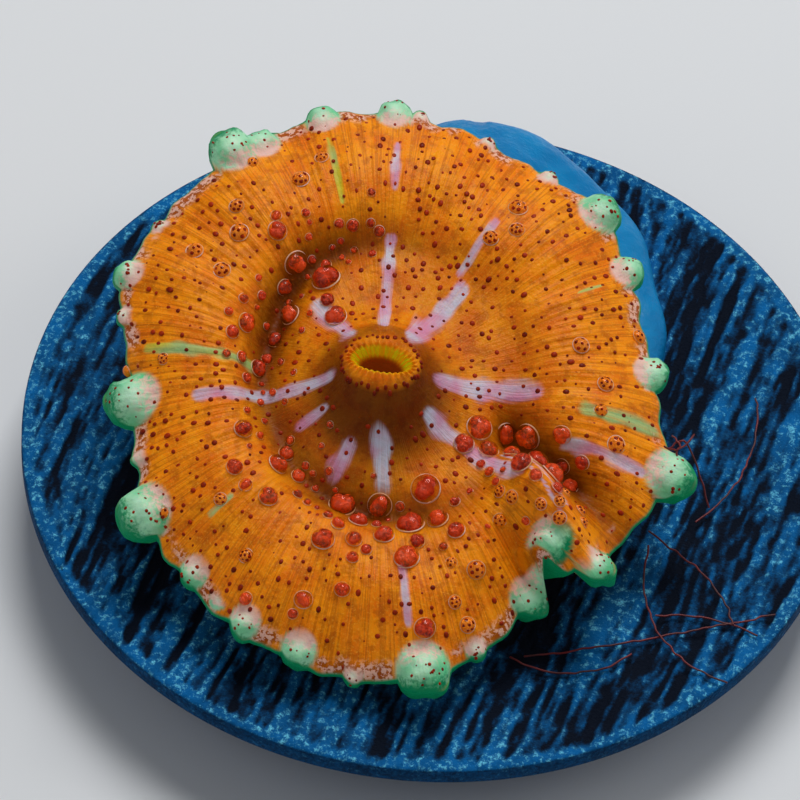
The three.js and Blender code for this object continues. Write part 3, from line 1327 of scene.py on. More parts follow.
@dataclass
class Polyp:
    """The coral itself: body, bladders and dots."""

    form: PolypForm
    sides: int = 600
    lip_count: int = 30
    dot_count: int = 860
    small_count: int = 58
    seed: int = 11
    pale: tuple[Stripe, ...] = (
        Stripe(130, 2, 4, 0.8), Stripe(90, 2, 6, 0.5), Stripe(90, 8, 10, 0.45), Stripe(55, 2, 5, 0.9),
        Stripe(60, 5.5, 8, 0.4), Stripe(0, 2.5, 6, 0.9), Stripe(345, 7.5, 10.5, 0.6),
        Stripe(325, 2.5, 6.5, 0.8), Stripe(275, 2.5, 4, 0.9), Stripe(280, 7.5, 10, 0.4),
        Stripe(250, 3, 4, 0.8), Stripe(215, 2.5, 3.5, 0.5), Stripe(190, 2, 7, 0.7))
    green: tuple[Stripe, ...] = (
        Stripe(175, 5, 9, 0.6), Stripe(105, 7.5, 10.5, 0.3), Stripe(355, 8, 10.5, 0.75),
        Stripe(30, 8.5, 9.5, 0.25), Stripe(225, 7.5, 8.5, 0.3))
    # Bladders filled with red lie in the furrow, along one spoke and in the valley.
    drifts: tuple[Drift, ...] = (
        Drift(255, 300, 4.5, 7.5, 17, 1.1, 0.35), Drift(118, 128, 3, 8, 7, 1.1, 0.3),
        Drift(135, 180, 4, 6, 10, 0.8, 0.35), Drift(205, 235, 4, 7, 7, 0.8, 0.5),
        Drift(325, 348, 4, 8.5, 15, 1.0, 0.5), Drift(90, 105, 6, 7, 3, 0.5, 0.35),
        Drift(210, 285, 8, 10.5, 5, 0.8, 0.4))
    # Small bumps that each hold a ring of dark dots lie in the outer zone and on the fold.
    bumps: tuple[Drift, ...] = (
        Drift(0, 360, 7, 10.5, 26, 0.75, 0.45), Drift(315, 332, 6.5, 10, 9, 0.55, 0.45))

    def build(self) -> list[bpy.types.Object]:
        """Builds every piece of the polyp.

        Returns:
            The finished pieces.
        """
        finish = TissueFinish(self.form.axis, self.form.lean)
        body = finished("polyp_body", self.body(), finish, "polyp")
        skins, cores, dots, collars = Stamp(), Stamp(), Stamp(), Stamp()
        self.fill_bladders(skins, cores, collars)
        self.fill_rosettes(skins, cores, dots, collars)
        self.scatter_dots(dots)
        return [
            body,
            finished("bladder_cores", cores.mesh(), CoreFinish(), "polyp"),
            finished("bladder_skins", skins.mesh(), BladderSkinFinish(), "polyp"),
            finished("bladder_collars", collars.mesh(), CollarFinish(), "polyp"),
            finished("dark_dots", dots.mesh(), DotFinish(), "polyp"),
        ]

    # ---- body

    def body(self) -> bpy.types.Mesh:
        """Spins the section, then moves it to the polyp's real form and paints its masks.

        Returns:
            The mesh of the body.
        """
        form = self.form
        mesh = spun(form.rows, self.sides)
        spots = coordinates(mesh)
        along = column_values(mesh, "along")
        ring = np.hypot(spots[:, 0], spots[:, 1])
        bearing = np.mod(np.degrees(np.arctan2(spots[:, 1], spots[:, 0])), 360.0)
        radius = form.ring_radius(ring, bearing)
        top = along <= form.edge_index()
        height = spots[:, 2] + self.relief(ring, radius, bearing, top)
        height, knob, outer, crown = self.swell_knobs(radius, bearing, height, top)
        angle = np.radians(bearing)
        pleat = np.sin(27 * angle + 1) + 0.7 * np.sin(11 * angle) + 0.5 * np.sin(44 * angle + 3)
        stalk = ease(along, form.edge_index() + 12, form.edge_index() + 24)
        placed = form.place(ring * (1 + 0.016 * pleat * stalk), bearing, height)
        upright = ease(spots[:, 2], form.stalk_top, form.stalk_base)[:, None]
        placed = placed * (1 - upright) + self.foot(ring, bearing, spots[:, 2]) * upright
        set_coordinates(mesh, placed)
        # crown marks the painted highlight on the top of each knob.
        for name, values in (("knob", knob), ("outer", outer), ("crown", crown * top)):
            paint(mesh, name, values)
        self.paint_masks(mesh, ring, radius, bearing, along)
        return mesh

    def relief(self, ring: np.ndarray, radius: np.ndarray, bearing: np.ndarray,
               top: np.ndarray) -> np.ndarray:
        """Height added to the section by folds, furrow, ribs and lips.

        Args:
            ring: Radii of the section before the rim is followed.
            radius: Real radii from the mouth's axis.
            bearing: Bearings in degrees.
            top: Which vertices are on the upper side.

        Returns:
            The added height of each vertex.
        """
        form = self.form
        angle = np.radians(bearing)
        outer = ease(ring, 4.5, 8.0)
        warped = angle + 0.010 * np.sin(17 * angle) + 0.006 * np.sin(41 * angle + 2.0)
        ribs = form.rib_height * np.sin(form.rib_count * warped) * outer
        strands = value_noise(angle * 18 + 40, radius * 0.35 + 7, 5) * 0.05 * outer
        lips = 0.06 * np.cos(self.lip_count * angle) * ease(ring, 0.7, 0.95) * ease(ring, 1.45, 1.2)
        lift = form.folds(radius, bearing) * np.where(top, 1.0, ease(ring, 5.8, 8.0))
        lift = lift + np.where(top, lips - form.furrow_share(radius, bearing), 0.0)
        return lift + ribs + strands

    def foot(self, ring: np.ndarray, bearing: np.ndarray, height: np.ndarray) -> np.ndarray:
        """Places the foot upright on its seat, with a slightly wavy hem.

        Args:
            ring: Radii of the section before the rim is followed.
            bearing: Bearings in degrees.
            height: Heights of the section.

        Returns:
            Rows of x, y, z.
        """
        form = self.form
        angle = np.radians(bearing)
        wide = ring * (1 + 0.02 * np.sin(11 * angle) + 0.02 * np.sin(27 * angle + 1))
        return np.stack([form.foot_centre[0] + wide * np.cos(angle),
                         form.foot_centre[1] + wide * np.sin(angle),
                         form.seat + height - form.foot_depth], axis=-1)

    def swell_knobs(self, radius: np.ndarray, bearing: np.ndarray, height: np.ndarray,
                    top: np.ndarray) -> tuple[np.ndarray, ...]:
        """Thickens the skin into a bulb at each knob.

        Args:
            radius: Real radius of each vertex.
            bearing: Bearing of each vertex.
            height: Height of each vertex so far.
            top: Which vertices are on the upper side.

        Returns:
            The new heights, how much each vertex belongs to a knob, how far it faces outwards and
            how close it is to a knob's crown, which sets a painted highlight.
        """
        share, outer, crown = (np.zeros(len(height)) for _ in range(3))
        side = np.where(top, 1.0, -1.0)
        for knob in self.form.knobs:
            outwards, sideways = knob.offsets(radius, bearing)
            size = knob.diameter / 2
            near = np.flatnonzero((np.hypot(outwards, sideways) < 1.7 * size) & (radius > 7))
            outwards, sideways = outwards[near], sideways[near]
            gap = np.hypot(outwards, sideways)
            dome = knob.dome(outwards, sideways)
            level = knob.level(self.form)
            own = (height[near] - level) * side[near]
            soft = np.sqrt((own - dome) ** 2 + (0.2 * size) ** 2)
            held = ease(gap, 1.7 * size, 1.15 * size)
            swollen = own + (0.5 * (own + dome + soft) - own) * held
            height[near] = level + swollen * side[near]
            mine = ease(gap, 1.22 * size, 1.0 * size) * ease(np.abs(own), 1.6 * size, 1.0 * size)
            chosen = mine > share[near]
            share[near[chosen]] = mine[chosen]
            bloom = 1.5 * max(0.0, 1.5 - knob.diameter)
            facing = (outwards - 0.45 * dome * side[near] + 0.25 * size) / size - bloom
            outer[near[chosen]] = facing[chosen]
            # Painted highlight mask: near the middle of the dome's upper side.
            crown[near] = np.maximum(crown[near], ease(gap, 0.75 * size, 0.1 * size) * ease(own, -0.2, 0.1))
        return height, share, outer, crown

    def crest_lines(self) -> tuple[Row, ...]:
        """Two thin pale lines that run along the ridge of the fold.

        Returns:
            Bearing and radius at each end of each short stretch, and its width.
        """
        ridge = self.form.ridge
        steps = np.linspace(ridge.at - 0.5, ridge.at + 3, 4)
        lines = []
        for offset in (-1.0, 1.5):
            bearings = ridge.bearing + offset + ridge.drift * (steps - ridge.at)
            ends = list(zip(bearings, steps))
            lines += [(*ends[i], *ends[i + 1], 0.15) for i in range(len(ends) - 1)]
        return tuple(lines)

    @cached_property
    def bladders(self) -> tuple[Row, ...]:
        """Bearing, radius and diameter of each large bladder."""
        return strewn(self.drifts, self.seed + 20, ())

    @cached_property
    def rosettes(self) -> tuple[Row, ...]:
        """Bearing, radius and diameter of each bump that holds a ring of dots."""
        return strewn(self.bumps, self.seed + 21, self.bladders)

    def stripes(self, table: Iterable[Row], radius: np.ndarray, bearing: np.ndarray) -> np.ndarray:
        """Soft mask of straight stripes drawn on the disc's plane.

        Args:
            table: Bearing and radius at each end of each stripe, and its width.
            radius: Real radii from the mouth's axis.
            bearing: Bearings in degrees.

        Returns:
            The mask, 0 to 1.
        """
        x, y = radius * np.cos(np.radians(bearing)), radius * np.sin(np.radians(bearing))
        mask = np.zeros(len(x))
        for b0, r0, b1, r1, width in table:
            start = np.array([r0 * math.cos(math.radians(b0)), r0 * math.sin(math.radians(b0))])
            end = np.array([r1 * math.cos(math.radians(b1)), r1 * math.sin(math.radians(b1))])
            run = end - start
            t = np.clip(((x - start[0]) * run[0] + (y - start[1]) * run[1]) / (run @ run), 0, 1)
            gap = np.hypot(x - start[0] - t * run[0], y - start[1] - t * run[1])
            gap = gap * (1 + 0.45 * value_noise(x * 1.8 + 30, y * 1.8 + 30, 8))
            mask = np.maximum(mask, ease(gap, 0.62 * width, 0.08 * width))
        return mask

    def paint_masks(self, mesh: bpy.types.Mesh, ring: np.ndarray, radius: np.ndarray,
                    bearing: np.ndarray, along: np.ndarray) -> None:
        """Stores where each colour of the skin goes, painted shade among them.

        Args:
            mesh: The body's mesh.
            ring: Radii of the section before the rim is followed.
            radius: Real radii from the mouth's axis.
            bearing: Bearings in degrees.
            along: How far along the section each vertex lies.
        """
        form = self.form
        edge = form.edge_index()
        top = along <= edge
        angle = np.radians(bearing)
        # Painted shade: the cone's front flank, the ring furrow, the inner zone round the mouth, the valley,
        # the crease, the underside and the stalk are darkened.
        front = 0.5 - 0.5 * np.sin(angle)
        flank_shade = ease(ring, 1.4, 1.6) * ease(ring, 2.1 + 2.6 * front, 1.9) * (0.45 + 0.55 * front)
        hollow_shade = np.clip(form.furrow_share(radius, bearing) * 1.2, 0, 1) + 0.2 * ease(ring, 5.6, 3.8)
        cleft_shade = 1.2 * form.valley.share(radius, bearing) + form.crease.share(radius, bearing) * 0.5
        inner = ease(along, edge + 9, edge + 22) * 0.7
        shade = np.where(top, np.clip(flank_shade + hollow_shade + cleft_shade, 0, 1), inner)
        patches = value_noise(angle * 9 + 60, ring * 0.9, 12)
        patches = patches + 0.7 * value_noise(angle * 24 + 60, ring * 2.5, 13)
        frill = ease(ring, 10.45, 10.8) * ease(patches, -0.2, 0.4) * top
        paint(mesh, "shade", shade)
        pale = [stripe.row() for stripe in self.pale] + list(self.crest_lines())
        green = [stripe.row() for stripe in self.green]
        paint(mesh, "pale", self.stripes(pale, radius, bearing) * top)
        paint(mesh, "green", self.stripes(green, radius, bearing) * top)
        paint(mesh, "frill", frill)
        paint(mesh, "rim", ease(np.abs(along - edge), 4.5, 2.0))
        paint(mesh, "lip", ease(ring, 0.72, 0.95) * ease(ring, 1.26, 1.1) * top)
        paint(mesh, "throat", ease(ring, 0.95, 0.7) * top)

    # ---- bladders and dots

    def spot_frame(self, bearing: float, radius: float, size: float, sink: float,
                   flat: float = 1.0, stretch: float = 1.0) -> Matrix:
        """Places a unit shape on the skin.

        Args:
            bearing: Bearing in degrees.
            radius: Real radius.
            size: Radius of the placed shape.
            sink: How far its middle lies under the skin, as a share of its size.
            flat: Its height as a share of its width.
            stretch: Its length outwards as a share of its width.

        Returns:
            The matrix.
        """
        here, normal, outward = self.form.skin_frame(bearing, radius)
        sideways = normal.cross(outward)
        turn = Matrix((outward, sideways, normal)).transposed().to_4x4()
        shape = Matrix.Diagonal((size * stretch, size, size * flat, 1.0))
        return Matrix.Translation(here - normal * sink * size) @ turn @ shape

    @cached_property
    def small_bladders(self) -> tuple[Row, ...]:
        """Small bladders strewn along the ring furrow and the valley.

        Returns:
            Bearing, radius and diameter of each.
        """
        chance = random_source(self.seed + 7)
        taken = [(r * math.cos(math.radians(b)), r * math.sin(math.radians(b)), d / 2)
                 for b, r, d in self.bladders + self.rosettes]
        found = []
        while len(found) < self.small_count:
            bearing = chance.uniform(96, 345)
            middle = float(around(self.form.furrow, np.array([bearing]))[0])
            radius = middle + chance.normal(0.15, 0.75)
            size = chance.uniform(0.11, 0.21)
            x, y = radius * math.cos(math.radians(bearing)), radius * math.sin(math.radians(bearing))
            if all((x - u) ** 2 + (y - v) ** 2 > (size + gap + 0.03) ** 2 for u, v, gap in taken):
                taken.append((x, y, size))
                found.append((bearing, radius, 2 * size))
        return tuple(found)

    def fill_bladders(self, skins: Stamp, cores: Stamp, collars: Stamp) -> None:
        """Adds each large bladder: a clear skin over a lumpy red core.

        Args:
            skins: Where the skins are gathered.
            cores: Where the fillings are gathered.
            collars: Where the collars are gathered.
        """
        balls = {detail: lumpy_ball(detail, 1.4, 0.05, 31) for detail in (3, 4)}
        variants = {detail: [lobed_ball(detail, 2 + i % 4, 40 + i) for i in range(6)] for detail in (3, 4)}
        ring = collar_ring()
        chance = random_source(self.seed)
        for number, (bearing, radius, diameter) in enumerate(self.bladders + self.small_bladders):
            size = diameter / 2
            detail = 4 if diameter > 0.45 else 3
            flat = chance.uniform(0.82, 0.98)
            stretch = chance.uniform(0.92, 1.1)
            place = self.spot_frame(bearing, radius, size, -0.15, flat, stretch)
            skins.add(balls[detail], place, 0.0)
            collars.add(ring, place @ Matrix.Translation((0, 0, -0.05)), 0.0)
            spin = Matrix.Rotation(chance.uniform(0, math.tau), 4, "Z")
            tint = chance.uniform(0.1, 1)
            cores.add(variants[detail][number % 6], place @ spin @ Matrix.Scale(0.88, 4), tint)

    def fill_rosettes(self, skins: Stamp, cores: Stamp, dots: Stamp, collars: Stamp) -> None:
        """Adds each rosette: an amber bump with a ring of dark dots under its skin.

        Args:
            skins: Where the skins are gathered.
            cores: Where the amber fillings are gathered.
            dots: Where the dots are gathered.
            collars: Where the collars are gathered.
        """
        ball = lumpy_ball(3, 1.4, 0.05, 31)
        bead = lumpy_ball(3, 2.0, 0.12, 33)
        seed_shape = small_bead()
        ring = collar_ring()
        chance = random_source(self.seed + 1)
        for bearing, radius, diameter in self.rosettes:
            place = self.spot_frame(bearing, radius, diameter / 2, 0.1, 0.8)
            skins.add(ball, place, 0.0)
            cores.add(bead, place @ Matrix.Scale(0.85, 4), 1.6)
            collars.add(ring, place @ Matrix.Translation((0, 0, 0.15)), 0.0)
            count = int(chance.integers(4, 8))
            start = chance.uniform(0, math.tau)
            for number in range(count):
                angle = start + math.tau * number / count + chance.uniform(-0.2, 0.2)
                tilt = chance.uniform(0.75, 1.0)
                spot = Vector((math.sin(tilt) * math.cos(angle), math.sin(tilt) * math.sin(angle),
                               math.cos(tilt))) * 0.8
                size = chance.uniform(0.17, 0.26)
                dots.add(seed_shape, place @ Matrix.Translation(spot) @ Matrix.Scale(size, 4),
                         chance.uniform(0.2, 0.9))
            dots.add(seed_shape, place @ Matrix.Translation((0, 0, 0.8)) @ Matrix.Scale(0.2, 4), 0.6)

    def scatter_dots(self, dots: Stamp) -> None:
        """Strews small dark dots over the disc, the cone and the knobs.

        Args:
            dots: Where the dots are gathered.
        """
        seed_shape = small_bead()
        chance = random_source(self.seed + 2)
        taken = [(r * math.cos(math.radians(b)), r * math.sin(math.radians(b)), d / 2 + 0.08)
                 for b, r, d in self.bladders + self.small_bladders + self.rosettes]
        for radius, bearing in self.dot_places(chance, taken):
            size = chance.uniform(0.05, 0.12)
            place = self.spot_frame(bearing, radius, size, 0.1, 0.5, chance.uniform(0.8, 1.4))
            dots.add(seed_shape, place, chance.uniform(0, 1))
        for number in range(40):
            bearing = 360 / 40 * number + chance.uniform(-3, 3)
            size = chance.uniform(0.06, 0.1)
            place = self.spot_frame(bearing, chance.uniform(1.42, 1.56), size, 0.0, 0.7, 1.5)
            dots.add(seed_shape, place, chance.uniform(0, 0.4))
        for knob in self.form.knobs:
            self.dot_knob(dots, seed_shape, knob, chance)

    def dot_places(self, chance: np.random.Generator,
                   taken: list[Row]) -> Iterable[tuple[float, float]]:
        """Gives radii and bearings that keep clear of each other and of the bladders.

        Args:
            chance: Source of chance.
            taken: x, y and clearance of what is there; each new dot is added to it.

        Returns:
            Radius and bearing of each dot.
        """
        found = 0
        while found < self.dot_count:
            bearing = chance.uniform(0, 360)
            limit = float(around(self.form.rim, np.array([bearing]))[0]) - 0.25
            radius = math.sqrt(chance.uniform(2.2 ** 2, limit ** 2))
            x, y = radius * math.cos(math.radians(bearing)), radius * math.sin(math.radians(bearing))
            if any((x - u) ** 2 + (y - v) ** 2 < (gap + 0.1) ** 2 for u, v, gap in taken):
                continue
            taken.append((x, y, chance.uniform(0.1, 0.32)))
            found += 1
            yield radius, bearing

    def dot_knob(self, dots: Stamp, shape: bpy.types.Mesh, knob: Knob,
                 chance: np.random.Generator) -> None:
        """Puts a few dots on the upper side of a knob.

        Args:
            dots: Where the dots are gathered.
            shape: Shape of one dot.
            knob: The knob.
            chance: Source of chance.
        """
        size, level = knob.diameter / 2, knob.level(self.form)
        for _ in range(int(5 + 11 * size)):
            turn, reach = chance.uniform(0, math.tau), math.sqrt(chance.uniform(0, 0.8)) * size
            outwards, sideways = np.array([reach * math.cos(turn)]), np.array([reach * math.sin(turn)])
            dome = float(knob.dome(outwards, sideways)[0])
            along = knob.radius + outwards[0]
            radius = np.array([math.hypot(along, sideways[0])])
            bearing = np.array([knob.bearing + math.degrees(math.atan2(sideways[0], along))])
            here = Vector(self.form.leaning(radius, bearing, np.array([level + dome]))[0])
            middle = Vector(self.form.leaning(np.array([knob.radius]), np.array([knob.bearing]),
                                              np.array([level]))[0])
            facing = (here - middle).to_track_quat("Z", "Y").to_matrix().to_4x4()
            own = chance.uniform(0.045, 0.08)
            flat = Matrix.Diagonal((own, own * chance.uniform(0.8, 1.3), own * 0.6, 1))
            dots.add(shape, Matrix.Translation(here) @ facing @ flat, chance.uniform(0.1, 0.8))


# ---------------------------------------------------------------- glue, disc and threads


@dataclass
class GluePad:
    """The lump of cured glue that the foot sits in."""

    top: float
    seat: float
    foot_centre: Row
    foot_radius: float = 5.0
    centre: Row = (-0.2, 4.6)
    sides: int = 240
    rings: int = 70
    edge_power: float = 3.2
    seat_margin: float = 0.6
    seat_ramp: float = 2.2
    sunk: float = 0.12
    # Outline and height of the lump: bearing, radius, height.
    outline: tuple[Row, ...] = (
        (0, 9, 1.8), (30, 9.5, 2.1), (44, 10.1, 2.5), (60, 10.2, 3.3), (75, 10.7, 4), (95, 10, 3.6),
        (130, 8.2, 2.4), (155, 6.8, 1.6), (190, 7.6, 1), (225, 9, 0.9), (270, 10.6, 0.8),
        (315, 9.6, 1.1))

    def build(self) -> bpy.types.Object:
        """Builds the lump.

        Returns:
            The finished piece.
        """
        lid = [(math.sin(step / self.rings * math.pi / 2), 1.0) for step in range(self.rings, -1, -1)]
        mesh = spun(np.array([(0.0, 0.0), (0.5, 0.0), (1.0, 0.0)] + lid), self.sides)
        spots = coordinates(mesh)
        share = np.minimum(np.hypot(spots[:, 0], spots[:, 1]), 1.0)
        bearing = np.degrees(np.arctan2(spots[:, 1], spots[:, 0]))
        set_coordinates(mesh, self.shaped(share, bearing, spots[:, 2] > 0.5))
        return finished("glue_lump", mesh, GlueFinish(), "glue_pad")

    def shaped(self, share: np.ndarray, bearing: np.ndarray, lid: np.ndarray) -> np.ndarray:
        """Gives the lump's surface from the share of its radius and the bearing.

        Args:
            share: Share of the lump's radius, 0 to 1.
            bearing: Bearings in degrees.
            lid: Which vertices are on the upper side.

        Returns:
            Rows of x, y, z.
        """
        angle = np.radians(bearing)
        radius = share * (around(self.outline, bearing) + 0.12 * np.sin(13 * angle) * share)
        x = self.centre[0] + radius * np.cos(angle)
        y = self.centre[1] + radius * np.sin(angle)
        reach = np.hypot(x - self.foot_centre[0], y - self.foot_centre[1])
        shoulder = ease(reach - self.foot_radius - self.seat_margin, 0.0, self.seat_ramp)
        crown = (1 - share ** self.edge_power) ** (1 / self.edge_power)
        level = self.seat - self.top
        rise = shoulder * np.maximum(0, around(self.outline, bearing, 2) - level)
        lumps = 0.22 * value_noise(x * 0.45 + 50, y * 0.45 + 50, 51)
        lumps = lumps + 0.08 * value_noise(x * 1.7 + 50, y * 1.7 + 50, 52)
        lumps = lumps - 0.22 * ease(value_noise(x * 1.1 + 60, y * 0.8 + 60, 53), 0.45, 0.75)
        z = self.top + (level + rise + lumps * shoulder) * crown
        return np.stack([x, y, np.where(lid & (share < 1), z, self.top - self.sunk)], axis=-1)


@dataclass
class FragDisc:
    """The scored ceramic disc."""

    radius: float
    top: float
    foot_radius: float = 12.8
    land: float = 3.2
    chamfer: float = 0.15
    across: int = 430
    along: int = 200
    score_bearing: float = 73.5
    score_depth: float = 0.2

    def relief(self, across: np.ndarray, along: np.ndarray) -> np.ndarray:
        """Height of the scoring, 0 in the deepest groove to 1 on the ridges.

        Args:
            across: Distances across the scoring.
            along: Distances along it.

        Returns:
            The height at each place.
        """
        drift = 0.35 * value_noise(across * 0.25 + 70, along * 0.18 + 70, 61)
        t = across + drift
        rough = (0.8 * value_noise(t / 0.42 + 80, along / 7 + 80, 62)
                 + 0.8 * value_noise(t / 0.21 + 80, along / 2.6 + 80, 63)
                 + 0.6 * value_noise(t / 0.16 + 80, along / 0.5 + 80, 64))
        return np.clip(0.5 + 0.42 * rough, 0.0, 1.0)

    def build(self) -> bpy.types.Object:
        """Builds the disc: a scored round top, an upright rim, a bevel and a flat underside.

        Returns:
            The finished piece.
        """
        work = bmesh.new()
        bmesh.ops.create_grid(work, x_segments=self.across, y_segments=self.along, size=1.0)
        for vertex in work.verts:
            x, y, _ = vertex.co
            vertex.co.x = x * math.sqrt(1 - y * y / 2) * (self.radius - self.chamfer)
            vertex.co.y = y * math.sqrt(1 - x * x / 2) * (self.radius - self.chamfer)
        turn = Matrix.Rotation(math.radians(self.score_bearing - 90), 4, "Z")
        rim = [edge for edge in work.edges if edge.is_boundary]
        profile = [(self.radius, self.top - self.chamfer), (self.radius, self.land),
                   (self.foot_radius + 0.15, 0.15), (self.foot_radius, 0.0)]
        for radius, height in profile:
            made = bmesh.ops.extrude_edge_only(work, edges=rim)["geom"]
            for vertex in (item for item in made if isinstance(item, bmesh.types.BMVert)):
                flat = vertex.co.xy.normalized() * radius
                vertex.co = (flat.x, flat.y, height)
            rim = [item for item in made if isinstance(item, bmesh.types.BMEdge)]
        bmesh.ops.contextual_create(work, geom=rim)
        bmesh.ops.recalc_face_normals(work, faces=work.faces)
        mesh = mesh_of(work)
        spots = coordinates(mesh)
        ridge = self.relief(spots[:, 0], spots[:, 1])
        is_top = np.zeros(len(spots), dtype=bool)
        is_top[:(self.across + 1) * (self.along + 1)] = True
        depth = self.score_depth * (1 - ridge)
        spots[:, 2] = np.where(is_top, self.top - depth, spots[:, 2])
        set_coordinates(mesh, spots)
        mesh.transform(turn)
        # Painted highlight along the disc's edge: the ridge value is raised near the chamfer, which turns it
        # azure and strews more cyan glints.
        lip = 0.7 * ease(np.hypot(spots[:, 0], spots[:, 1]), self.radius - 0.7, self.radius - 0.15)
        paint(mesh, "ridge", np.where(is_top, ridge + lip, 0.5))
        return finished("scored_disc", mesh, CeramicFinish(), "frag_disc")


@dataclass(frozen=True)
class Strand:
    """One thread that settles on the disc as it wanders off in a slow bend."""

    x: float
    y: float
    height: float
    heading: float
    length: float
    bend: float

    def points(self, step: float = 1.0, rest: float = 0.1) -> tuple[Row, ...]:
        """Walks along the thread.

        Args:
            step: Length of each step.
            rest: Height at which the thread lies on the disc.

        Returns:
            x, y and height above the disc of each point.
        """
        x, y, heading, walked = self.x, self.y, self.heading, []
        for number in range(round(self.length / step) + 1):
            walked.append((x, y, rest + (self.height - rest) * 0.5 ** number))
            x += step * math.cos(math.radians(heading))
            y += step * math.sin(math.radians(heading))
            heading += self.bend * step
        return tuple(walked)


@dataclass
class AlgaeThreads:
    """Fine red threads that lie over the disc and the glue."""

    top: float
    thickness: float = 0.05
    strands: tuple[Strand, ...] = (
        Strand(8.5, -5, 1.4, -15, 5, -14), Strand(8.5, -5.5, 1.2, -95, 7, 12),
        Strand(4, -10.5, 0.2, 15, 10, 0.5), Strand(3.5, -10.5, 0.1, -25, 5, 16),
        Strand(9, -8, 0.1, 5, 4.5, -9), Strand(12.5, 3, 0.1, -85, 7, -8))
    # Tuft caught on the right-hand knob: x, y and height above the disc of each thread's points.
    tuft: tuple[tuple[Row, ...], ...] = (
        ((9.0, -3.2, 4.3), (9.4, -2.9, 4.5), (9.7, -3.0, 4.4), (10.2, -3.6, 3.6), (10.7, -4.2, 2.2)),
        ((8.8, -3.0, 4.2), (9.2, -3.3, 4.4), (9.6, -3.1, 4.5), (9.9, -2.6, 4.6)),
        ((9.1, -2.7, 4.5), (9.4, -3.1, 4.5), (9.3, -3.5, 4.3)),
    )

    def build(self) -> bpy.types.Object:
        """Builds all threads as one piece.

        Returns:
            The finished piece.
        """
        line = bpy.data.curves.new("threads", "CURVE")
        line.dimensions = "3D"
        line.bevel_depth = self.thickness
        line.bevel_resolution = 2
        line.use_fill_caps = True
        threads = [strand.points() for strand in self.strands] + list(self.tuft)
        for number, points in enumerate(threads):
            path = smooth_path(points, [10] * (len(points) - 1))
            steps = np.arange(len(path)) * 0.35
            path[:, 0] += 0.06 * value_noise(steps, np.full(len(path), number + 0.5), 71)
            path[:, 1] += 0.06 * value_noise(steps, np.full(len(path), number + 9.5), 72)
            spline = line.splines.new("POLY")
            spline.points.add(len(path) - 1)
            for point, (x, y, z) in zip(spline.points, path):
                point.co = (x, y, z + self.top, 1.0)
                point.radius = 0.75
        draft = bpy.data.objects.new("threads", line)
        bpy.context.scene.collection.objects.link(draft)
        ready = draft.evaluated_get(bpy.context.evaluated_depsgraph_get())
        mesh = bpy.data.meshes.new_from_object(ready)
        bpy.data.objects.remove(draft)
        bpy.data.curves.remove(line)
        return finished("algae_threads", mesh, ThreadFinish(), None)


# ---------------------------------------------------------------- studio


class LampRole(Enum):
    """What each soft lamp does."""

    KEY = "key"
    FILL = "fill"
    RIM = "rim"


@dataclass(frozen=True)
class Lamp:
    """A soft square lamp that faces the part."""

    role: LampRole
    spot: Row
    size: float
    power: float

    def hang(self, target: Vector) -> None:
        """Hangs the lamp so that it faces the target.

        Args:
            target: The point it faces.
        """
        data = bpy.data.lights.new(self.role.value, "AREA")
        data.size = self.size
        data.energy = self.power
        lamp = bpy.data.objects.new(self.role.value, data)
        bpy.context.scene.collection.objects.link(lamp)
        lamp.location = target + Vector(self.spot)
        lamp.rotation_euler = (target - lamp.location).to_track_quat("-Z", "Y").to_euler()


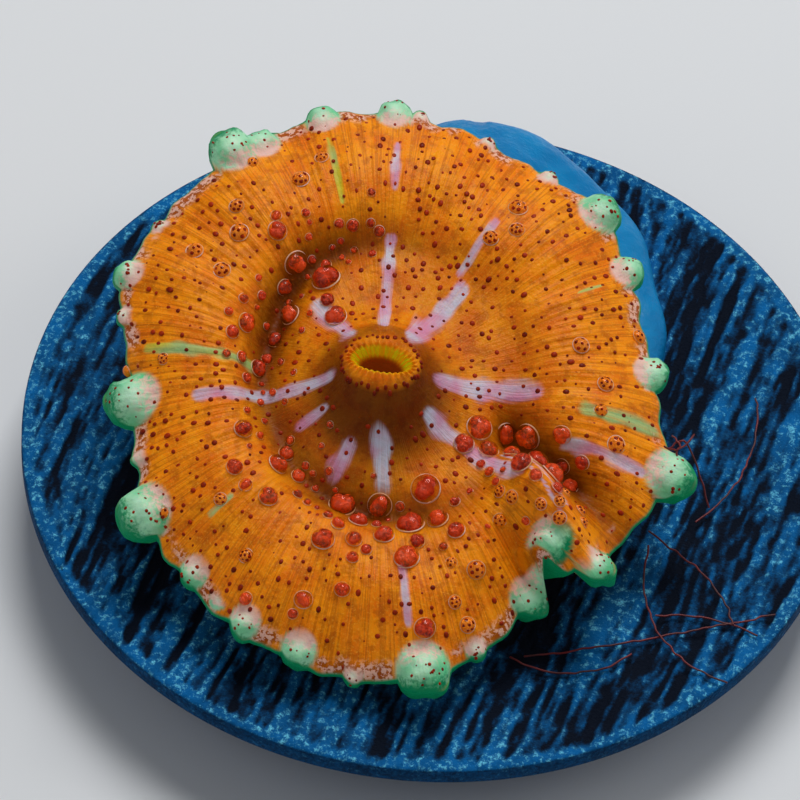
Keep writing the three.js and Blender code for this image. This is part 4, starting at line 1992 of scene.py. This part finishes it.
@dataclass
class Studio:
    """Floor, lamps and camera."""

    middle: Vector
    elevation: float = 51.2
    roll: float = 4.19
    view_width: float = 0.03113
    lens: float = 350.0
    sensor: float = 36.0
    # How far the view's middle lies from the disc's: right and up in the view, in metres.
    aim: Row = (-0.00129, 0.00143)
    lamps: tuple[Lamp, ...] = (
        Lamp(LampRole.KEY, (0.02, 0.16, 0.28), 0.16, 0.68),
        Lamp(LampRole.FILL, (-0.20, -0.16, 0.22), 0.3, 0.12),
        Lamp(LampRole.RIM, (0.24, 0.05, 0.14), 0.18, 0.12))

    def build(self) -> None:
        """Sets up the floor, the lamps, the surroundings and the camera."""
        self.lay_floor()
        for lamp in self.lamps:
            lamp.hang(self.middle)
        world = bpy.data.worlds.new("surroundings")
        world.use_nodes = True
        backdrop = world.node_tree.nodes["Background"]
        backdrop.inputs["Color"].default_value = (0.9, 0.94, 1.0, 1.0)
        backdrop.inputs["Strength"].default_value = 0.15
        bpy.context.scene.world = world
        bpy.context.scene.view_settings.view_transform = "Standard"
        self.set_camera()

    def lay_floor(self) -> None:
        """Lays a wide pale floor under the part."""
        work = bmesh.new()
        bmesh.ops.create_grid(work, x_segments=1, y_segments=1, size=1.5)
        mesh = mesh_of(work)
        mesh.materials.append(FloorFinish().material())
        floor = bpy.data.objects.new("floor", mesh)
        bpy.context.scene.collection.objects.link(floor)

    def set_camera(self) -> None:
        """Aims a long lens down at the part, rolled a little."""
        tilt, roll = math.radians(self.elevation), math.radians(self.roll)
        up = Vector((0, math.sin(tilt), math.cos(tilt)))
        back = Vector((0, -math.cos(tilt), math.sin(tilt)))
        side = Vector((1, 0, 0))
        right = side * math.cos(roll) + up * math.sin(roll)
        above = up * math.cos(roll) - side * math.sin(roll)
        target = self.middle + right * self.aim[0] + above * self.aim[1]
        data = bpy.data.cameras.new("camera")
        data.lens, data.sensor_width = self.lens, self.sensor
        data.clip_start, data.clip_end = 0.01, 10.0
        camera = bpy.data.objects.new("camera", data)
        bpy.context.scene.collection.objects.link(camera)
        distance = self.view_width * self.lens / self.sensor
        turn = Matrix((right, above, back)).transposed()
        camera.matrix_world = Matrix.Translation(target + back * distance) @ turn.to_4x4()
        bpy.context.scene.camera = camera


# ---------------------------------------------------------------- the whole part


def main() -> None:
    """Builds the studio and every piece, in order."""
    logging.basicConfig(level=logging.INFO, format="%(name)s: %(message)s")
    disc_low, disc_high = (np.array(corner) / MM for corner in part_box("frag_disc"))
    middle = (disc_low + disc_high) / 2
    top = float(disc_high[2])
    Studio(Vector((middle[0] * MM, middle[1] * MM, top * MM))).build()
    foot_centre = (middle[0] - 1.8, middle[1] + 0.4)
    form = PolypForm(axis=(middle[0] - 2.2, middle[1] - 1.6, top + 4.6), seat=top + 0.8,
                     foot_centre=foot_centre)
    FragDisc(radius=float(disc_high[0] - middle[0]), top=top).build()
    GluePad(top=top, seat=form.seat, foot_centre=foot_centre).build()
    Polyp(form).build()
    AlgaeThreads(top=top).build()


if __name__ == "__main__":
    main()
